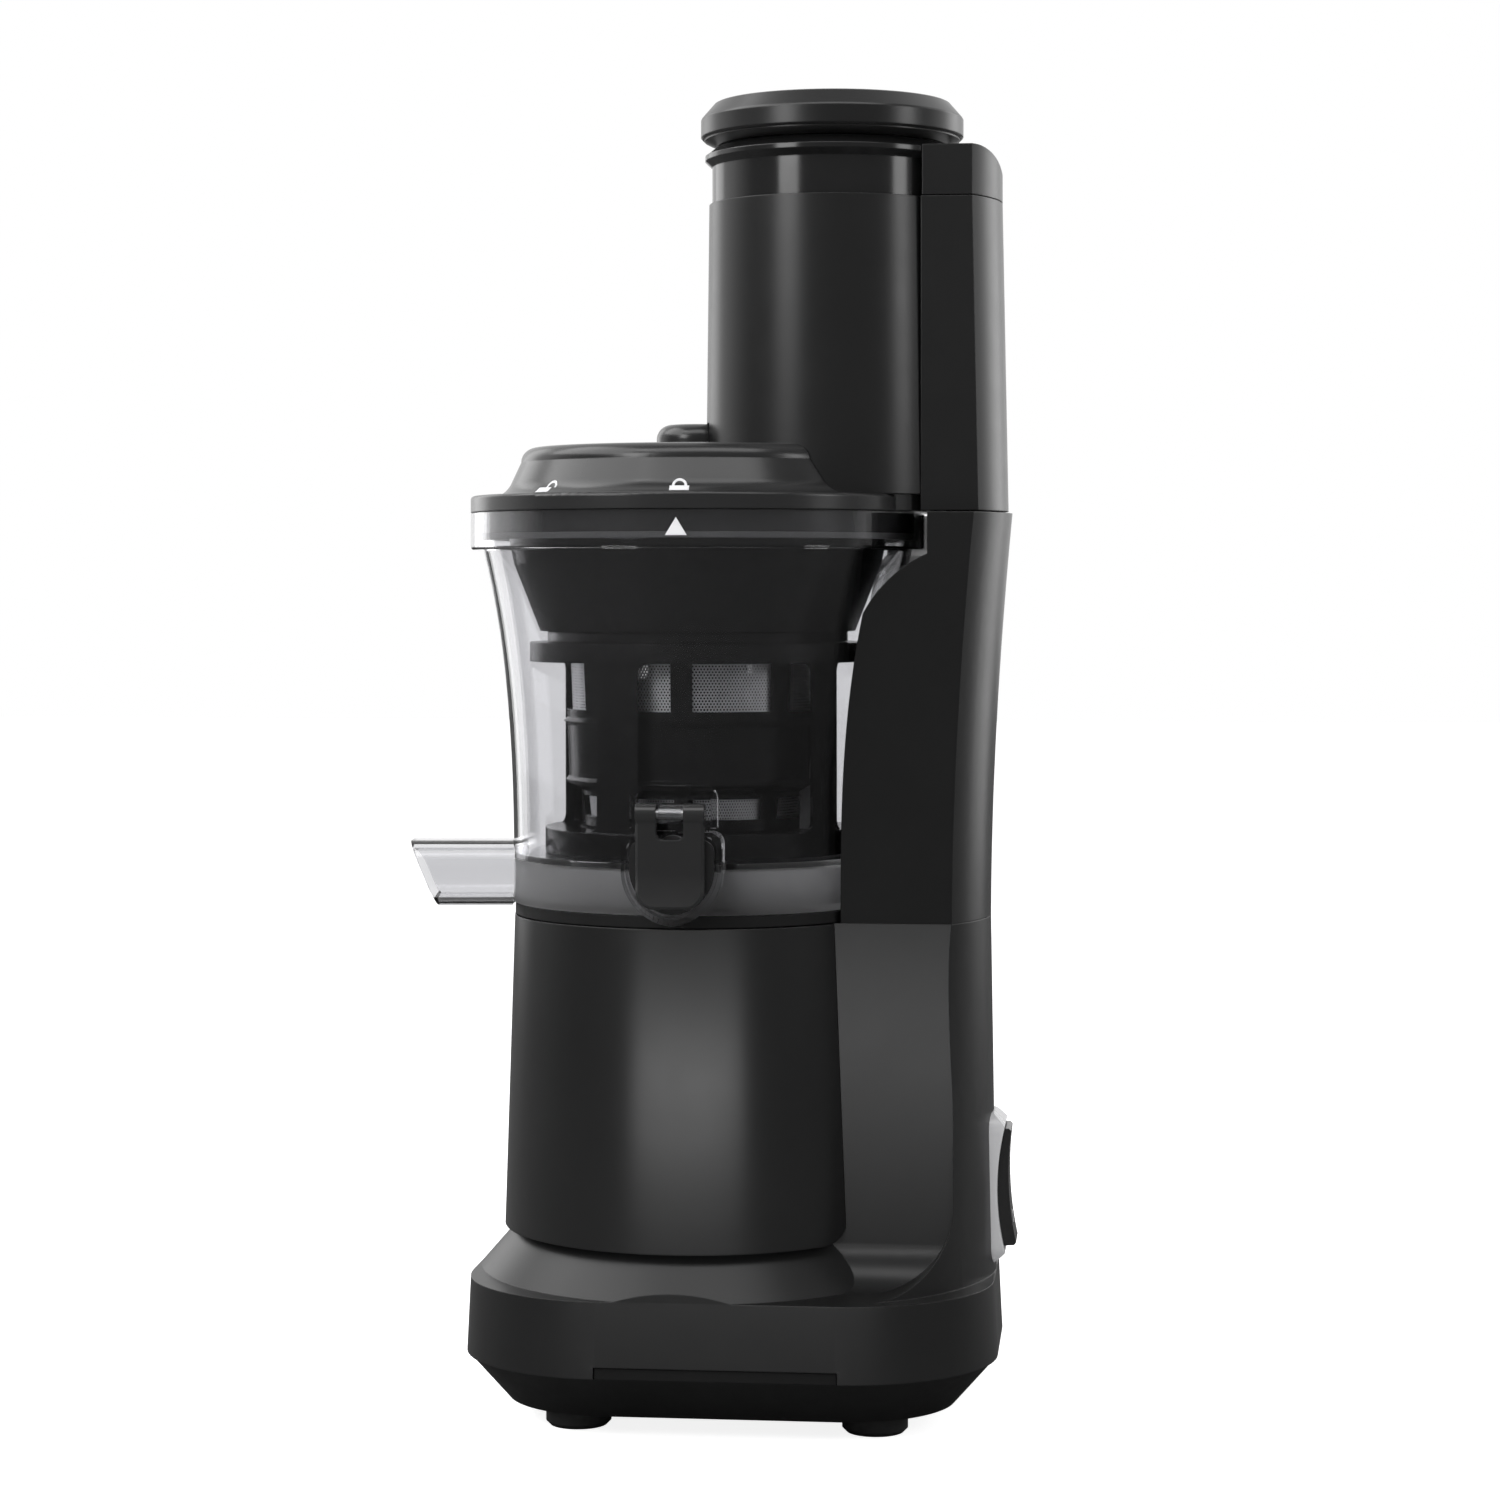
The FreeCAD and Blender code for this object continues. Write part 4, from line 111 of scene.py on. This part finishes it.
def bump(tree, bsdf, height, strength, distance, edge=0.0):
    """Fine relief from a height, on edges that are softened by a radius."""
    node = tree.nodes.new("ShaderNodeBump")
    if edge:
        soft = tree.nodes.new("ShaderNodeBevel")
        soft.samples = 4
        soft.inputs["Radius"].default_value = edge
        tree.links.new(soft.outputs["Normal"], node.inputs["Normal"])
    node.inputs["Strength"].default_value = strength
    node.inputs["Distance"].default_value = distance
    tree.links.new(height, node.inputs["Height"])
    tree.links.new(node.outputs["Normal"], bsdf.inputs["Normal"])


def maths(tree, operation, first, second=None):
    node = tree.nodes.new("ShaderNodeMath")
    node.operation = operation
    for socket, value in zip(node.inputs, (first, second)):
        if value is None:
            continue
        if isinstance(value, (int, float)):
            socket.default_value = value
        else:
            tree.links.new(value, socket)
    return node.outputs[0]


def round_axis(tree):
    """Angle, radius and height of a point about the drive axis."""
    split = tree.nodes.new("ShaderNodeSeparateXYZ")
    tree.links.new(place(tree), split.inputs[0])
    x = maths(tree, "SUBTRACT", split.outputs[0], AXIS_X)
    y = split.outputs[1]
    square = maths(tree, "ADD", maths(tree, "MULTIPLY", x, x), maths(tree, "MULTIPLY", y, y))
    return maths(tree, "ARCTAN2", y, x), maths(tree, "SQRT", square), split.outputs[2]


# Materials

def grey(level):
    return (level, level, level * 1.02)


def moulded(name, dark, light, smooth, rough, grain, depth, level=0.5):
    """Moulded plastic: cloudy colour, uneven gloss and a fine grain."""
    cloud_scale = 35.0
    gloss_scale = 90.0
    edge_radius = 0.5 * MM
    material, tree, bsdf = new_material(name)
    tree.links.new(two_colours(tree, noise(tree, cloud_scale), dark, light), bsdf.inputs["Base Color"])
    tree.links.new(spread(tree, noise(tree, gloss_scale), smooth, rough), bsdf.inputs["Roughness"])
    bsdf.inputs["Specular IOR Level"].default_value = level
    bump(tree, bsdf, noise(tree, grain, 2.0), 0.25, depth, edge_radius)
    return material


def turned_metal(name, dark, light, rough):
    """Metal with fine rings from turning."""
    material, tree, bsdf = new_material(name)
    bsdf.inputs["Metallic"].default_value = 1.0
    stretch = tree.nodes.new("ShaderNodeMapping")
    stretch.inputs["Scale"].default_value = (40, 40, 2500)
    tree.links.new(place(tree), stretch.inputs["Vector"])
    rings = noise(tree, 1.0, 3.0, 0.6, stretch.outputs["Vector"])
    tree.links.new(two_colours(tree, rings, dark, light), bsdf.inputs["Base Color"])
    tree.links.new(spread(tree, rings, rough, rough + 0.15), bsdf.inputs["Roughness"])
    bump(tree, bsdf, rings, 0.15, 0.05 * MM)
    return material


def clear_plastic():
    """Clear plastic with a frosted band round the pulp tray; lamps shine through it."""
    material, tree, bsdf = new_material("clear_bowl")
    bsdf.inputs["Transmission Weight"].default_value = 1.0
    bsdf.inputs["IOR"].default_value = 1.49
    radius, z = round_axis(tree)[1:]
    band_top = CAGE_FOOT - 1.5 * MM
    low = spread(tree, z, 1.0, 0.0, band_top - 1 * MM, band_top)
    inside = maths(tree, "LESS_THAN", radius, TRAY_RADIUS + 0.2 * MM)
    frost = maths(tree, "MULTIPLY", low, inside)
    tree.links.new(two_colours(tree, frost, grey(0.82), grey(0.5)), bsdf.inputs["Base Color"])
    tree.links.new(spread(tree, frost, 0.03, 0.38, 0, 1), bsdf.inputs["Roughness"])
    bump(tree, bsdf, noise(tree, 60.0, 1.0), 0.03, 0.4 * MM)
    through = tree.nodes.new("ShaderNodeBsdfTransparent")
    through.inputs["Color"].default_value = (0.8, 0.8, 0.8, 1)
    path = tree.nodes.new("ShaderNodeLightPath")
    mix = tree.nodes.new("ShaderNodeMixShader")
    tree.links.new(path.outputs["Is Shadow Ray"], mix.inputs["Fac"])
    tree.links.new(bsdf.outputs[0], mix.inputs[1])
    tree.links.new(through.outputs[0], mix.inputs[2])
    tree.links.new(mix.outputs[0], tree.nodes["Material Output"].inputs["Surface"])
    return material


def perforated_steel():
    """Thin steel with staggered round holes, laid out round the drive axis."""
    pitch = 1.1 * MM
    hole = 0.3
    row_share = math.sqrt(0.75)
    material, tree, bsdf = new_material("perforated_steel")
    angle, _, z = round_axis(tree)
    column = maths(tree, "MULTIPLY", angle, MESH_RADIUS / pitch)
    row = maths(tree, "MULTIPLY", z, 1 / (row_share * pitch))
    stagger = maths(tree, "MULTIPLY", maths(tree, "MODULO", maths(tree, "FLOOR", row), 2.0), 0.5)
    across = maths(tree, "SUBTRACT", maths(tree, "FRACT", maths(tree, "ADD", column, stagger)), 0.5)
    along = maths(tree, "MULTIPLY", maths(tree, "SUBTRACT", maths(tree, "FRACT", row), 0.5), row_share)
    reach = maths(tree, "ADD", maths(tree, "MULTIPLY", across, across), maths(tree, "MULTIPLY", along, along))
    solid = maths(tree, "GREATER_THAN", reach, hole * hole)
    tree.links.new(solid, bsdf.inputs["Alpha"])
    bsdf.inputs["Metallic"].default_value = 1.0
    tree.links.new(two_colours(tree, noise(tree, 200.0), grey(0.74), grey(0.84)), bsdf.inputs["Base Color"])
    tree.links.new(spread(tree, noise(tree, 400.0), 0.4, 0.5), bsdf.inputs["Roughness"])
    return material


def paint(material, *names):
    for name in names:
        for slot in NODES[name].material_slots:
            slot.material = material


def paint_all():
    grained = moulded("black_grained", grey(0.007), grey(0.008), 0.28, 0.3, 1500.0, 0.012 * MM, 0.45)
    paint(grained, "drum_cover", "column_cover")
    matt = moulded("black_base", grey(0.007), grey(0.008), 0.34, 0.36, 1500.0, 0.012 * MM, 0.38)
    paint(matt, "base_housing")
    satin = moulded("black_satin", grey(0.008), grey(0.009), 0.28, 0.31, 1100.0, 0.02 * MM)
    paint(satin, "chute_sleeve", "spine_cover", "spine_cap", "pusher_cap")
    under = moulded("black_under", grey(0.004), grey(0.006), 0.5, 0.6, 1200.0, 0.06 * MM, 0.3)
    paint(under, "bottom_plate", "bowl_seat", "switch_body")
    lid = moulded("black_lid", grey(0.017), grey(0.019), 0.22, 0.25, 220.0, 0.01 * MM)
    paint(lid, "lid", "tap_lever", "power_rocker")
    gloss = moulded("black_gloss", grey(0.008), grey(0.009), 0.14, 0.17, 160.0, 0.01 * MM)
    paint(gloss, "feed_chute", "pusher_barrel")
    # Parts inside the bowl, and the idler gears, get a darker copy of the black plastic with weaker gloss. The
    # darker colour is painted shade for the inside of the bowl.
    inner = moulded("black_inner", grey(0.003), grey(0.004), 0.2, 0.23, 700.0, 0.01 * MM, 0.35)
    paint(inner, "strainer_basket", "brush_cage", "auger", "auger_bush", "hopper_cone")
    paint(inner, "idler_gear_1", "idler_gear_2")
    paint(clear_plastic(), "bowl", "pulp_tray")
    paint(perforated_steel(), "strainer_mesh")
    steel = turned_metal("turned_steel", grey(0.48), grey(0.66), 0.22)
    paint(steel, "drive_shaft", "idler_pins", "tap_pin", "lid_magnet", "shaft_bearings")
    rubber = moulded("rubber", grey(0.012), grey(0.02), 0.65, 0.8, 900.0, 0.08 * MM)
    paint(rubber, "rubber_feet", "motor_damper", "shaft_seal", "cord_gland")
    silicone = moulded("silicone", grey(0.05), grey(0.07), 0.45, 0.55, 500.0, 0.04 * MM)
    paint(silicone, "bowl_seal", "wiper_blades", "lid_gasket", "pusher_seal", "tap_seal")
    paint(moulded("motor_paint", grey(0.07), grey(0.1), 0.35, 0.5, 400.0, 0.05 * MM), "motor_case")
    cast = turned_metal("cast_aluminium", grey(0.4), grey(0.52), 0.45)
    paint(cast, "gearbox_case", "gearbox_cover")
    board = moulded("board", (0.02, 0.12, 0.05), (0.03, 0.17, 0.07), 0.35, 0.5, 600.0, 0.05 * MM)
    paint(board, "control_board")
    nylon = moulded("nylon", grey(0.62), grey(0.7), 0.4, 0.5, 500.0, 0.03 * MM)
    paint(nylon, "board_standoffs", "lid_sensor")
    silver = moulded("bezel_silver", grey(0.72), grey(0.8), 0.18, 0.28, 600.0, 0.02 * MM)
    paint(silver, "switch_bezel")


# Added pieces

def new_piece(name, shape, material):
    """Object in the scene from a finished bmesh."""
    mesh = bpy.data.meshes.new(name)
    shape.to_mesh(mesh)
    shape.free()
    mesh.materials.append(material)
    piece = bpy.data.objects.new(name, mesh)
    bpy.context.scene.collection.objects.link(piece)
    return piece


# Printed signs

def ring(radius, steps=24, start=0.0, end=360.0):
    """Points on a circle, from one angle to another in degrees."""
    closed = end - start == 360.0
    count = steps if closed else steps + 1
    angles = [math.radians(start + (end - start) * i / steps) for i in range(count)]
    return [(radius * math.cos(a), radius * math.sin(a)) for a in angles]


def shackle(half, thick, rise):
    """Outline of an arch that stands on y = 0."""
    outer = [(x, rise + y) for x, y in ring(half, 16, 0.0, 180.0)]
    inner = [(x, rise + y) for x, y in ring(half - thick, 16, 180.0, 0.0)]
    return [(half, 0)] + outer + [(-half, 0), (-half + thick, 0)] + inner + [(half - thick, 0)]


def printed(name, node, body, outlines, middle, right, up, material):
    """Thin print of flat outlines in millimetres, laid on a piece's surface from outside."""
    outward = right.cross(up)
    shape = bmesh.new()
    for loops in outlines:
        edges = []
        for loop in loops:
            points = [shape.verts.new((x, y, 0)) for x, y in loop]
            edges += [shape.edges.new((points[i - 1], points[i])) for i in range(len(points))]
        bmesh.ops.triangle_fill(shape, use_beauty=True, edges=edges)
    bmesh.ops.subdivide_edges(shape, edges=list(shape.edges), cuts=2, use_grid_fill=True)
    for face in shape.faces:
        if face.normal.z < 0:
            face.normal_flip()
    lift = 0.03 * MM
    stand_off = 6 * MM
    for point in shape.verts:
        spot = middle + (right * point.co.x + up * point.co.y) * MM + outward * stand_off
        hit, at, facing, _ = NODES[node].ray_cast(spot, -outward)
        if not hit:
            raise ValueError("nothing to print on under " + name)
        point.co = at + facing * lift
    piece = new_piece(name, shape, material)
    thick = piece.modifiers.new("thickness", "SOLIDIFY")
    thick.thickness = 0.05 * MM
    thick.offset = 1.0
    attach(piece, body)


def around(turn):
    """Outward and rightward directions at an angle about the drive axis, seen from outside."""
    a = math.radians(turn)
    return Vector((math.cos(a), math.sin(a), 0)), Vector((-math.sin(a), math.cos(a), 0))


def print_signs():
    """Arrow on the collar, lock signs on the lid and the two ends of the rocker switch."""
    white = moulded("print_white", grey(0.82), grey(0.88), 0.4, 0.5, 800.0, 0.01 * MM)
    front = -88.3
    unlock_turn = 45.0
    axis = Vector((AXIS_X, 0, 0))
    up = Vector((0, 0, 1))

    arrow = [(-3.5, 0), (3.5, 0), (0, 5.8)]
    arrow_drop = 8.2 * MM
    outward, right = around(front)
    middle = axis + outward * COLLAR_RADIUS + up * (COLLAR_TOP - arrow_drop)
    printed("lock_arrow", "bowl", "bowl", [[arrow]], middle, right, up, white)

    sign_inset = 11.2 * MM
    sign_rise = 9.0 * MM
    body = [(-3.2, -2.6), (3.2, -2.6), (3.2, 0), (-3.2, 0)]
    arch = shackle(2.45, 0.9, 0.3)
    swung = [(x + 2.8, y) for x, y in arch]
    slope = math.radians(40)
    for name, turn, loop in (("lock_sign", front, arch), ("unlock_sign", front - unlock_turn, swung)):
        outward, right = around(turn)
        climb = up * math.sin(slope) - outward * math.cos(slope)
        spot = axis + outward * (COLLAR_RADIUS - sign_inset) + up * (COLLAR_TOP + sign_rise)
        printed(name, "lid", "lid", [[body], [loop]], spot, right, climb, white)

    side = Vector((0, 1, 0))
    from_centre = up * 0.28 * (ROCKER_HIGH[2] - ROCKER_LOW[2])
    centre = Vector((ROCKER_HIGH[0], 0, (ROCKER_HIGH[2] + ROCKER_LOW[2]) / 2))
    bar = [(-0.45, -2.2), (0.45, -2.2), (0.45, 2.2), (-0.45, 2.2)]
    printed("on_sign", "power_rocker", "rocker", [[bar]], centre + from_centre, side, up, white)
    hoop = [ring(2.2), ring(1.4)]
    printed("off_sign", "power_rocker", "rocker", [hoop], centre - from_centre, side, up, white)


# Screws under the base

def screw(name, spot, radius, depth, material):
    """Pan head with a cross recess, hanging under a face at a spot."""
    shape = bmesh.new()
    arm = 0.55 * radius
    half = 0.14 * radius
    recess = 0.5 * depth
    cross = [(half, half), (half, arm), (-half, arm), (-half, half), (-arm, half), (-arm, -half), (-half, -half),
             (-half, -arm), (half, -arm), (half, -half), (arm, -half), (arm, half)]
    levels = ((radius, 0.0), (radius, -0.45 * depth), (0.9 * radius, -0.8 * depth), (0.72 * radius, -depth))
    rings = [[shape.verts.new((x, y, z)) for x, y in ring(r, 32)] for r, z in levels]
    for low, high in zip(rings, rings[1:]):
        for i in range(len(low)):
            shape.faces.new((low[i - 1], low[i], high[i], high[i - 1]))
    mouth = [shape.verts.new((x, y, -depth)) for x, y in cross]
    floor = [shape.verts.new((x, y, -depth + recess)) for x, y in cross]
    for i in range(len(cross)):
        shape.faces.new((mouth[i - 1], mouth[i], floor[i], floor[i - 1]))
    shape.faces.new(floor)
    shape.faces.new(rings[0])
    rim = [shape.edges.get((loop[i - 1], loop[i])) for loop in (rings[-1], mouth) for i in range(len(loop))]
    bmesh.ops.triangle_fill(shape, use_beauty=True, edges=rim)
    bmesh.ops.recalc_face_normals(shape, faces=list(shape.faces))
    bmesh.ops.translate(shape, verts=list(shape.verts), vec=spot)
    piece = new_piece(name, shape, material)
    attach(piece, "base")


def base_screws():
    zinc = turned_metal("zinc_screw", grey(0.3), grey(0.42), 0.3)
    inset = 26 * MM
    radius = 3.4 * MM
    depth = 2.0 * MM
    for i, x in enumerate((FEET_LOW[0] + inset, FEET_HIGH[0] - inset)):
        for j, y in enumerate((FEET_LOW[1] + inset / 2, FEET_HIGH[1] - inset / 2)):
            screw("base_screw_%d" % (2 * i + j + 1), Vector((x, y, PLATE_UNDERSIDE)), radius, depth, zinc)


# Rib that closes the column's notch behind the bowl's collar

def bowl_reach(turn, z):
    """Outer radius of the bowl at an angle about the drive axis and a height."""
    outward = around(turn)[0]
    axis = Vector((AXIS_X, 0, z))
    hit, at, _, _ = NODES["bowl"].ray_cast(axis + outward * 2 * COLLAR_RADIUS, -outward)
    if not hit:
        raise ValueError("no bowl beside the rib")
    return (at - axis).length


def notch_rib():
    """Upright beside the collar, then close round the bowl's flare."""
    gap = 1.7 * MM
    thick = 1.5 * MM
    first_turn = 4.0
    last_turn = 34.0
    steps = 20
    upright = [COLLAR_TOP - drop * MM for drop in (0.4, 14.2)]
    flared = [COLLAR_TOP - drop * MM for drop in (18.0, 22.0, 26.0, 30.0, 34.0, 37.0)]
    inner = [(COLLAR_RADIUS + gap, z) for z in upright]
    inner += [(bowl_reach(last_turn, z) + gap, z) for z in flared]
    outline = inner + [(r + thick, z) for r, z in reversed(inner)]
    shape = bmesh.new()
    sections = []
    for i in range(steps + 1):
        outward = around(first_turn + (last_turn - first_turn) * i / steps)[0]
        sections.append([shape.verts.new(Vector((AXIS_X, 0, z)) + outward * r) for r, z in outline])
    for first, second in zip(sections, sections[1:]):
        for i in range(len(outline)):
            shape.faces.new((first[i - 1], first[i], second[i], second[i - 1]))
    shape.faces.new(sections[0])
    shape.faces.new(sections[-1])
    bmesh.ops.recalc_face_normals(shape, faces=list(shape.faces))
    piece = new_piece("notch_rib", shape, NODES["column_cover"].material_slots[0].material)
    soft = piece.modifiers.new("edges", "BEVEL")
    soft.width = 0.4 * MM
    soft.segments = 3
    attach(piece, "base")


# Stage, light and camera

def plainly_seen(tree, path):
    """One for what the camera sees directly or through clear plastic, without a mirror on the way."""
    unmirrored = maths(tree, "LESS_THAN", path.outputs["Glossy Depth"], 0.5)
    through = maths(tree, "MULTIPLY", path.outputs["Is Transmission Ray"], unmirrored)
    return maths(tree, "MAXIMUM", path.outputs["Is Camera Ray"], through)


def white_stage():
    """Pale floor that shows as white, keeps the object's shadow and is dim in reflections."""
    glow = 0.86
    mirror_loss = -0.85
    material, tree, bsdf = new_material("stage_white")
    path = tree.nodes.new("ShaderNodeLightPath")
    cloud = spread(tree, noise(tree, 3.0), 0.86, 0.9)
    dimmed = maths(tree, "MULTIPLY", maths(tree, "MULTIPLY", path.outputs["Is Glossy Ray"], mirror_loss), cloud)
    tree.links.new(maths(tree, "ADD", cloud, dimmed), bsdf.inputs["Base Color"])
    bsdf.inputs["Roughness"].default_value = 0.9
    bsdf.inputs["Emission Color"].default_value = (1, 1, 1, 1)
    tree.links.new(maths(tree, "MULTIPLY", plainly_seen(tree, path), glow), bsdf.inputs["Emission Strength"])
    half = 6.0
    mesh = bpy.data.meshes.new("floor")
    mesh.from_pydata([(-half, -half, 0), (half, -half, 0), (half, half, 0), (-half, half, 0)], [], [(0, 1, 2, 3)])
    floor = bpy.data.objects.new("floor", mesh)
    bpy.context.scene.collection.objects.link(floor)
    mesh.materials.append(material)


def background(soft, front):
    """White world; diffuse light is soft, and reflections are dim on the photographer's side."""
    world = bpy.data.worlds.new("studio")
    bpy.context.scene.world = world
    world.use_nodes = True
    tree = world.node_tree
    shade = tree.nodes["Background"]
    path = tree.nodes.new("ShaderNodeLightPath")
    behind = tree.nodes.new("ShaderNodeVectorMath")
    behind.operation = "DOT_PRODUCT"
    behind.inputs[1].default_value = AHEAD
    tree.links.new(tree.nodes.new("ShaderNodeTexCoord").outputs["Generated"], behind.inputs[0])
    mirrored = spread(tree, behind.outputs["Value"], front, 1.0, -0.1, 0.35)
    bent = maths(tree, "MAXIMUM", path.outputs["Is Glossy Ray"], path.outputs["Is Transmission Ray"])
    level = maths(tree, "ADD", maths(tree, "MULTIPLY", bent, maths(tree, "SUBTRACT", mirrored, soft)), soft)
    tree.links.new(maths(tree, "MAXIMUM", level, plainly_seen(tree, path)), shade.inputs["Strength"])
    shade.inputs["Color"].default_value = (1, 1, 1, 1)


def softbox(name, turn, distance, height, aim, width, tall, power):
    """Lamp at an angle from the camera's side, in degrees to the right, that faces the drive axis."""
    a = math.radians(turn)
    spot = Vector((AXIS_X, 0, height)) + (SIDEWAYS * math.sin(a) - AHEAD * math.cos(a)) * distance
    lamp = bpy.data.lights.new(name, "AREA")
    lamp.shape = "RECTANGLE"
    lamp.size = width
    lamp.size_y = tall
    lamp.energy = power
    lamp_object = bpy.data.objects.new(name, lamp)
    bpy.context.scene.collection.objects.link(lamp_object)
    lamp_object.location = spot
    lamp_object.rotation_euler = (Vector((AXIS_X, 0, aim)) - spot).to_track_quat("-Z", "Y").to_euler()
    return lamp_object


def light_all():
    """Soft lamps round the object, and a low one that lights only the drum and the base."""
    softbox("left_strip", turn=-41, distance=1.2, height=0.78, aim=0.65,
            width=0.42, tall=0.52, power=4.0)
    softbox("right_strip", turn=66, distance=1.2, height=0.64, aim=0.55,
            width=0.3, tall=0.5, power=2.0)
    softbox("overhead", turn=5, distance=0.72, height=1.5, aim=0.30,
            width=1.6, tall=0.7, power=9)
    softbox("upper_left", turn=-85, distance=0.95, height=1.25, aim=0.30,
            width=1.5, tall=0.9, power=12)
    softbox("back_right", turn=128, distance=1.3, height=0.55, aim=0.30,
            width=0.5, tall=1.0, power=2.6)
    softbox("back_left", turn=-140, distance=1.3, height=0.55, aim=0.30,
            width=0.5, tall=1.0, power=1.8)
    flagged = softbox("front_low", turn=-5, distance=0.33, height=0.094, aim=0.094,
                      width=0.38, tall=0.03, power=0.3)
    flagged.visible_camera = False
    base = bpy.data.collections.new("base_lit")
    for name in ("base_housing", "drum_cover"):
        base.objects.link(NODES[name])
    flagged.light_linking.receiver_collection = base
    background(soft=0.3, front=0.22)


def photo_camera():
    lens = bpy.data.cameras.new("photo")
    lens.sensor_width = SENSOR
    lens.lens = SENSOR * VIEW_DISTANCE / FRAME_WIDTH
    lens.shift_y = HORIZON_SHIFT
    camera = bpy.data.objects.new("photo", lens)
    bpy.context.scene.collection.objects.link(camera)
    camera.location = Vector((AXIS_X, 0, EYE_HEIGHT)) + SIDE_OFFSET * SIDEWAYS - VIEW_DISTANCE * AHEAD
    camera.rotation_euler = (math.pi / 2, 0, VIEW_TURN)
    bpy.context.scene.camera = camera


paint_all()
print_signs()
base_screws()
notch_rib()
white_stage()
light_all()
photo_camera()
bpy.context.scene.view_settings.view_transform = "Standard"
